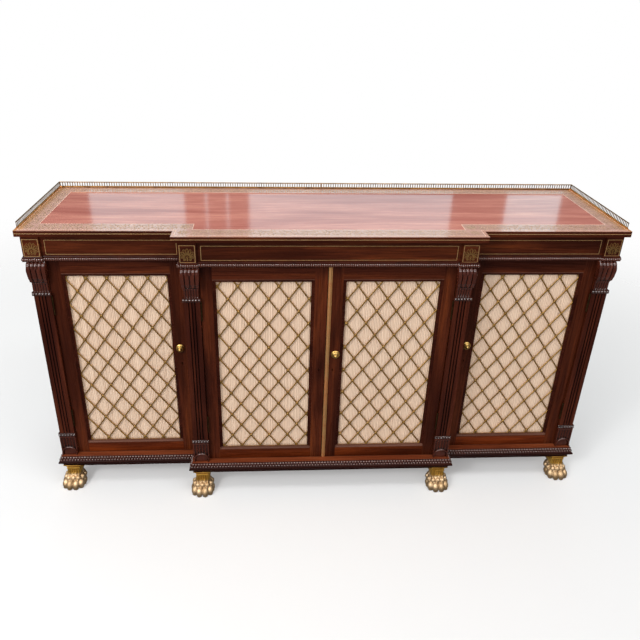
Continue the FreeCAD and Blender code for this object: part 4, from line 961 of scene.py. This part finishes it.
# ---------------- inlaid palmettes
def flat_petal(mesh, root, turn, length, width, line=0.0):
    """Flat leaf in the XZ plane, in metres; line leaves only a rim of that breadth."""
    made = bmesh.ops.create_circle(mesh, cap_ends=True, segments=20, radius=1.0)
    for vert in made["verts"]:
        rise = (vert.co.y + 1.0) / 2.0
        vert.co = Vector((vert.co.x * width / 2.0 * (0.30 + 0.78 * rise ** 1.2), 0.0, rise * length))
    place = Matrix.Translation((root[0], 0.0, root[1])) @ turned(turn, "Y")
    bmesh.ops.transform(mesh, matrix=place, verts=made["verts"])
    if line:
        hollow_out(mesh, made["verts"], line)


def flat_ring(mesh, centre, radius, line=0.0):
    made = bmesh.ops.create_circle(mesh, cap_ends=True, segments=16, radius=radius,
                                   matrix=Matrix.Translation((centre[0], 0.0, centre[1])) @ UPRIGHT)
    if line:
        hollow_out(mesh, made["verts"], line)


def hollow_out(mesh, verts, line):
    face = verts[0].link_faces[0]
    bmesh.ops.inset_region(mesh, faces=[face], thickness=line, use_boundary=True, use_even_offset=True)
    bmesh.ops.delete(mesh, geom=[face], context="FACES")


UPRIGHT = turned(90.0, "X")
PALMETTE_FOOT = 0.8487
PALMETTE_ROOT = PALMETTE_FOOT + 0.0125
PALMETTE_PETALS = ((0.0, 0.0212, 0.0096), (23.0, 0.0204, 0.0092), (46.0, 0.0182, 0.0084),
                   (69.0, 0.0152, 0.0074), (93.0, 0.0124, 0.0062))
PETAL_START = 0.0056
PALMETTE_LINE = 0.0011
INLAY_PROUD = 0.0002
BLOCK_PLACES = ((0.8385, -0.145), (0.3995, -0.187))


def palmette(mesh, x):
    """Anthemion of outlined leaves over two scroll eyes and a small pedestal."""
    for turn, length, width in PALMETTE_PETALS:
        for side in (-1, 1) if turn else (1,):
            lean = math.radians(turn * side)
            root = (x + PETAL_START * math.sin(lean), PALMETTE_ROOT + PETAL_START * math.cos(lean))
            flat_petal(mesh, root, turn * side, length, width, PALMETTE_LINE)
    for side in (-1, 1):
        eye = (x + side * 0.0082, PALMETTE_FOOT + 0.0058)
        flat_ring(mesh, eye, 0.0037, PALMETTE_LINE)
        flat_ring(mesh, eye, 0.0011)
    flat_petal(mesh, (x, PALMETTE_FOOT + 0.0006), 0.0, 0.0086, 0.0060, PALMETTE_LINE)
    flat_ring(mesh, (x, PALMETTE_ROOT), 0.0030, PALMETTE_LINE)


def make_palmettes():
    mesh = bmesh.new()
    for x, face in BLOCK_PLACES:
        for side in (-1, 1):
            part = bmesh.new()
            palmette(part, side * x)
            thicken(part, INLAY_PROUD)
            bmesh.ops.translate(part, vec=(0.0, face - INLAY_PROUD, 0.0), verts=part.verts)
            add_to(mesh, part)
    close_piece("inlaid_palmettes", mesh, inlay_brass, "carcass", 30.0, ["block_palmettes"])


make_palmettes()


# ---------------- foliage of the top border
MOTIF_PITCH = 0.062
FOLIAGE_FOOT = 0.93012
FOLIAGE_DEPTH = 0.0001
BORDER_CORNERS = both_sides([(0.409, -0.1725), (0.409, -0.1305), (0.8405, -0.1305), (0.8405, 0.1955)])
BREAKS = (2, 4)  # the two short runs where the front steps forward carry no motif
CORNER_ROOM = 0.020


def ribbon(mesh, path, steps, width):
    """Flat strip that follows path(t) and thins toward both ends."""
    made = bmesh.ops.create_grid(mesh, x_segments=steps, y_segments=1, size=1.0)
    for vert in made["verts"]:
        t = (vert.co.x + 1.0) / 2.0
        here, ahead, behind = path(t), path(t + 0.01), path(t - 0.01)
        run = Vector((ahead[0] - behind[0], ahead[1] - behind[1])).normalized()
        half = vert.co.y * width / 2.0 * (0.45 + 0.55 * math.sin(math.pi * min(max(t, 0.0), 1.0)))
        vert.co = Vector((here[0] - run.y * half, here[1] + run.x * half, 0.0))


def ground_petal(mesh, x, y, turn, length, width):
    made = bmesh.ops.create_circle(mesh, cap_ends=True, segments=10, radius=1.0)
    for vert in made["verts"]:
        rise = (vert.co.y + 1.0) / 2.0
        half = vert.co.x * width / 2.0 * (0.5 + 0.5 * math.sin(math.pi * rise))
        vert.co = Vector((rise * length, half, 0.0))
    place = Matrix.Translation((x, y, 0.0)) @ turned(turn, "Z")
    bmesh.ops.transform(mesh, matrix=place, verts=made["verts"])


def scroll_path(x, y, side):
    """Spiral that winds inward by one and a quarter turns; side +1 starts above its eye."""
    def path(t):
        radius = 0.0125 - 0.0095 * t
        angle = side * math.pi / 2.0 - side * t * 2.5 * math.pi
        return x + radius * math.cos(angle), y + radius * math.sin(angle)
    return path


SCROLL_LEAVES = [(turn, 0.0135, 0.0062, 0.0040) for turn in (35.0, 80.0, 125.0)]
SCROLL_LEAVES += [(turn, 0.0095, 0.0085, 0.0042) for turn in (215.0, 260.0, 305.0)]


def foliage_motif():
    """One repeat of the border, lying along X about its middle: a vine with two leafy scrolls."""
    mesh = bmesh.new()
    half = MOTIF_PITCH / 2.0
    ribbon(mesh, lambda t: (half * (2.0 * t - 1.0), 0.0115 * math.sin(math.tau * t)), 20, 0.0024)
    for side in (-1, 1):
        x, y = -side * half / 2.0, -side * 0.0015
        ribbon(mesh, scroll_path(x, y, side), 20, 0.0022)
        bmesh.ops.create_circle(mesh, cap_ends=True, segments=10, radius=0.0024,
                                matrix=Matrix.Translation((x, y, 0.0)))
        for turn, start, length, width in SCROLL_LEAVES:
            spot = math.radians(turn) * side
            root_x, root_y = x + start * math.cos(spot), y + start * math.sin(spot)
            ground_petal(mesh, root_x, root_y, turn * side, length, width)
    return mesh


def corner_motif():
    """Eight-leaved flower for the corners of the border."""
    mesh = bmesh.new()
    bmesh.ops.create_circle(mesh, cap_ends=True, segments=12, radius=0.0030)
    for i in range(8):
        angle = math.radians(i * 45.0)
        ground_petal(mesh, 0.0042 * math.cos(angle), 0.0042 * math.sin(angle), i * 45.0, 0.0125, 0.0056)
    return mesh


def as_leaf(mesh, name):
    thicken(mesh, FOLIAGE_DEPTH)
    return baked(mesh, name)


def make_foliage():
    mesh = bmesh.new()
    motif = as_leaf(foliage_motif(), "motif")
    flower = as_leaf(corner_motif(), "flower")
    places = [(flower, Matrix.Translation((x, y, FOLIAGE_FOOT))) for x, y in BORDER_CORNERS]
    for i, start in enumerate(BORDER_CORNERS):
        if i in BREAKS:
            continue
        a, b = Vector(start), Vector(BORDER_CORNERS[(i + 1) % len(BORDER_CORNERS)])
        run = (b - a).normalized()
        length = (b - a).length - 2.0 * CORNER_ROOM
        count = round(length / MOTIF_PITCH)
        turn = Matrix.Rotation(math.atan2(run.y, run.x), 4, "Z")
        stretch = Matrix.Diagonal((length / count / MOTIF_PITCH, 1.0, 1.0, 1.0))
        for k in range(count):
            spot = a + run * (CORNER_ROOM + (k + 0.5) * length / count)
            places.append((motif, Matrix.Translation((spot.x, spot.y, FOLIAGE_FOOT)) @ turn @ stretch))
    for data, place in places:
        copy = data.copy()
        copy.transform(place)
        mesh.from_mesh(copy)
        bpy.data.meshes.remove(copy)
    close_piece("border_foliage", mesh, foliage_brass, "carcass", 30.0)


make_foliage()


# ---------------- camera, lamps and floor
camera_data = bpy.data.cameras.new("camera")
camera_data.lens = 33.21
camera_data.sensor_width = 36.0
camera_data.shift_x = 0.02396
camera_data.shift_y = -0.10914
camera = placed("camera", camera_data)
camera.location = (-0.1589, -1.6877, 1.5554)
camera.rotation_euler = [math.radians(angle) for angle in (65.906, -1.1975, -2.7106)]
bpy.context.scene.camera = camera


def lamp(name, place, target, width, height, power, tone=(1.0, 1.0, 1.0)):
    """Soft rectangular lamp aimed at a point, out of the camera's sight."""
    data = bpy.data.lights.new(name, "AREA")
    data.shape = "RECTANGLE"
    data.size = width
    data.size_y = height
    data.energy = power
    data.color = tone
    piece = placed(name, data)
    piece.location = place
    piece.rotation_euler = (Vector(target) - Vector(place)).to_track_quat("-Z", "Y").to_euler()
    piece.visible_camera = False


lamp("key_lamp", (-2.6, -2.6, 3.0), (-0.1, 0.0, 0.5), 2.4, 1.8, 69.0)
lamp("spark_lamp", (-2.55, -2.55, 2.95), (-0.1, 0.0, 0.5), 0.6, 0.6, 39.5)
lamp("fill_lamp", (2.4, -3.0, 2.4), (0.0, 0.0, 0.5), 1.6, 1.2, 2.5)
lamp("top_lamp", (0.45, -0.9, 3.0), (0.3, -0.1, 0.9), 2.2, 0.5, 25.0)
PANEL_Y = 2.0
PANELS = ((-1.355, -0.745), (-0.610, -0.596), (-0.472, -0.458), (-0.324, 1.03), (1.40, 1.775))
PANEL_Z = (1.30, 2.05)
PANEL_GLOW = (1.35, 1.3, 1.3, 1.45, 1.62)
PANEL_TONE = (0.58, 0.92, 1.0)
for i, (x0, x1) in enumerate(PANELS):
    middle = ((x0 + x1) / 2.0, PANEL_Y, (PANEL_Z[0] + PANEL_Z[1]) / 2.0)
    area = (x1 - x0) * (PANEL_Z[1] - PANEL_Z[0])
    lamp(f"back_panel_{i}", middle, (middle[0], 0.0, middle[2]), x1 - x0, PANEL_Z[1] - PANEL_Z[0],
         math.pi * area * PANEL_GLOW[i], PANEL_TONE)

SKY_AXIS = (-0.22, -0.49, 0.845)
world = bpy.data.worlds.new("studio")
world.use_nodes = True
bpy.context.scene.world = world
tree = world.node_tree
tree.nodes.clear()
path = add(tree, "ShaderNodeLightPath")
seen = maths(tree, "MAXIMUM", path.outputs["Is Camera Ray"], path.outputs["Is Transmission Ray"])
toward = add(tree, "ShaderNodeTexCoord").outputs["Generated"]
sky_side = add(tree, "ShaderNodeVectorMath", {0: toward, 1: SKY_AXIS},
               operation="DOT_PRODUCT").outputs["Value"]
toward_sky = maths(tree, "ADD", times(tree, sky_side, 0.5), 0.5)
walls = ramp(tree, toward_sky, [(0.0, 0.10), (0.40, 0.055), (0.60, 0.035), (0.72, 0.10)])
window = ramp(tree, toward_sky, [(0.72, 0.0), (0.84, 0.9)])
over_wall = span(tree, axes_of(tree, toward)[2], 0.36, 0.58)
room = maths(tree, "ADD", walls, times(tree, window, over_wall))
WHITE = rgb(1.0, 1.0, 1.0)
mirrored, around, shown = (
    add(tree, "ShaderNodeBackground", {"Color": colour, "Strength": strength}).outputs[0]
    for colour, strength in ((room, 2.6), (WHITE, 0.60), (WHITE, 1.0)))
lit = add(tree, "ShaderNodeMixShader", {0: path.outputs["Is Glossy Ray"], 1: around, 2: mirrored}).outputs[0]
both = add(tree, "ShaderNodeMixShader", {0: seen, 1: lit, 2: shown}).outputs[0]
add(tree, "ShaderNodeOutputWorld", {"Surface": both})


def make_floor():
    mesh = bmesh.new()
    bmesh.ops.create_circle(mesh, cap_ends=True, segments=64, radius=6.0)
    data = baked(mesh, "floor")
    floor = placed("floor", data)
    material, tree, surface = new_finish("floor", Roughness=0.9, Specular_IOR_Level=0.0)
    surface.inputs["Base Color"].default_value = rgb(0.865, 0.865, 0.865)
    floor.visible_glossy = False
    far = add(tree, "ShaderNodeVectorMath", {0: object_place(tree)}, operation="LENGTH").outputs["Value"]
    solid = add(tree, "ShaderNodeMapRange", {0: far, 1: 1.1, 2: 3.2, 3: 0.75, 4: 0.0},
                interpolation_type="SMOOTHSTEP").outputs[0]
    tree.links.new(solid, surface.inputs["Alpha"])
    data.materials.append(material)


make_floor()

scene = bpy.context.scene
scene.view_settings.view_transform = "Standard"
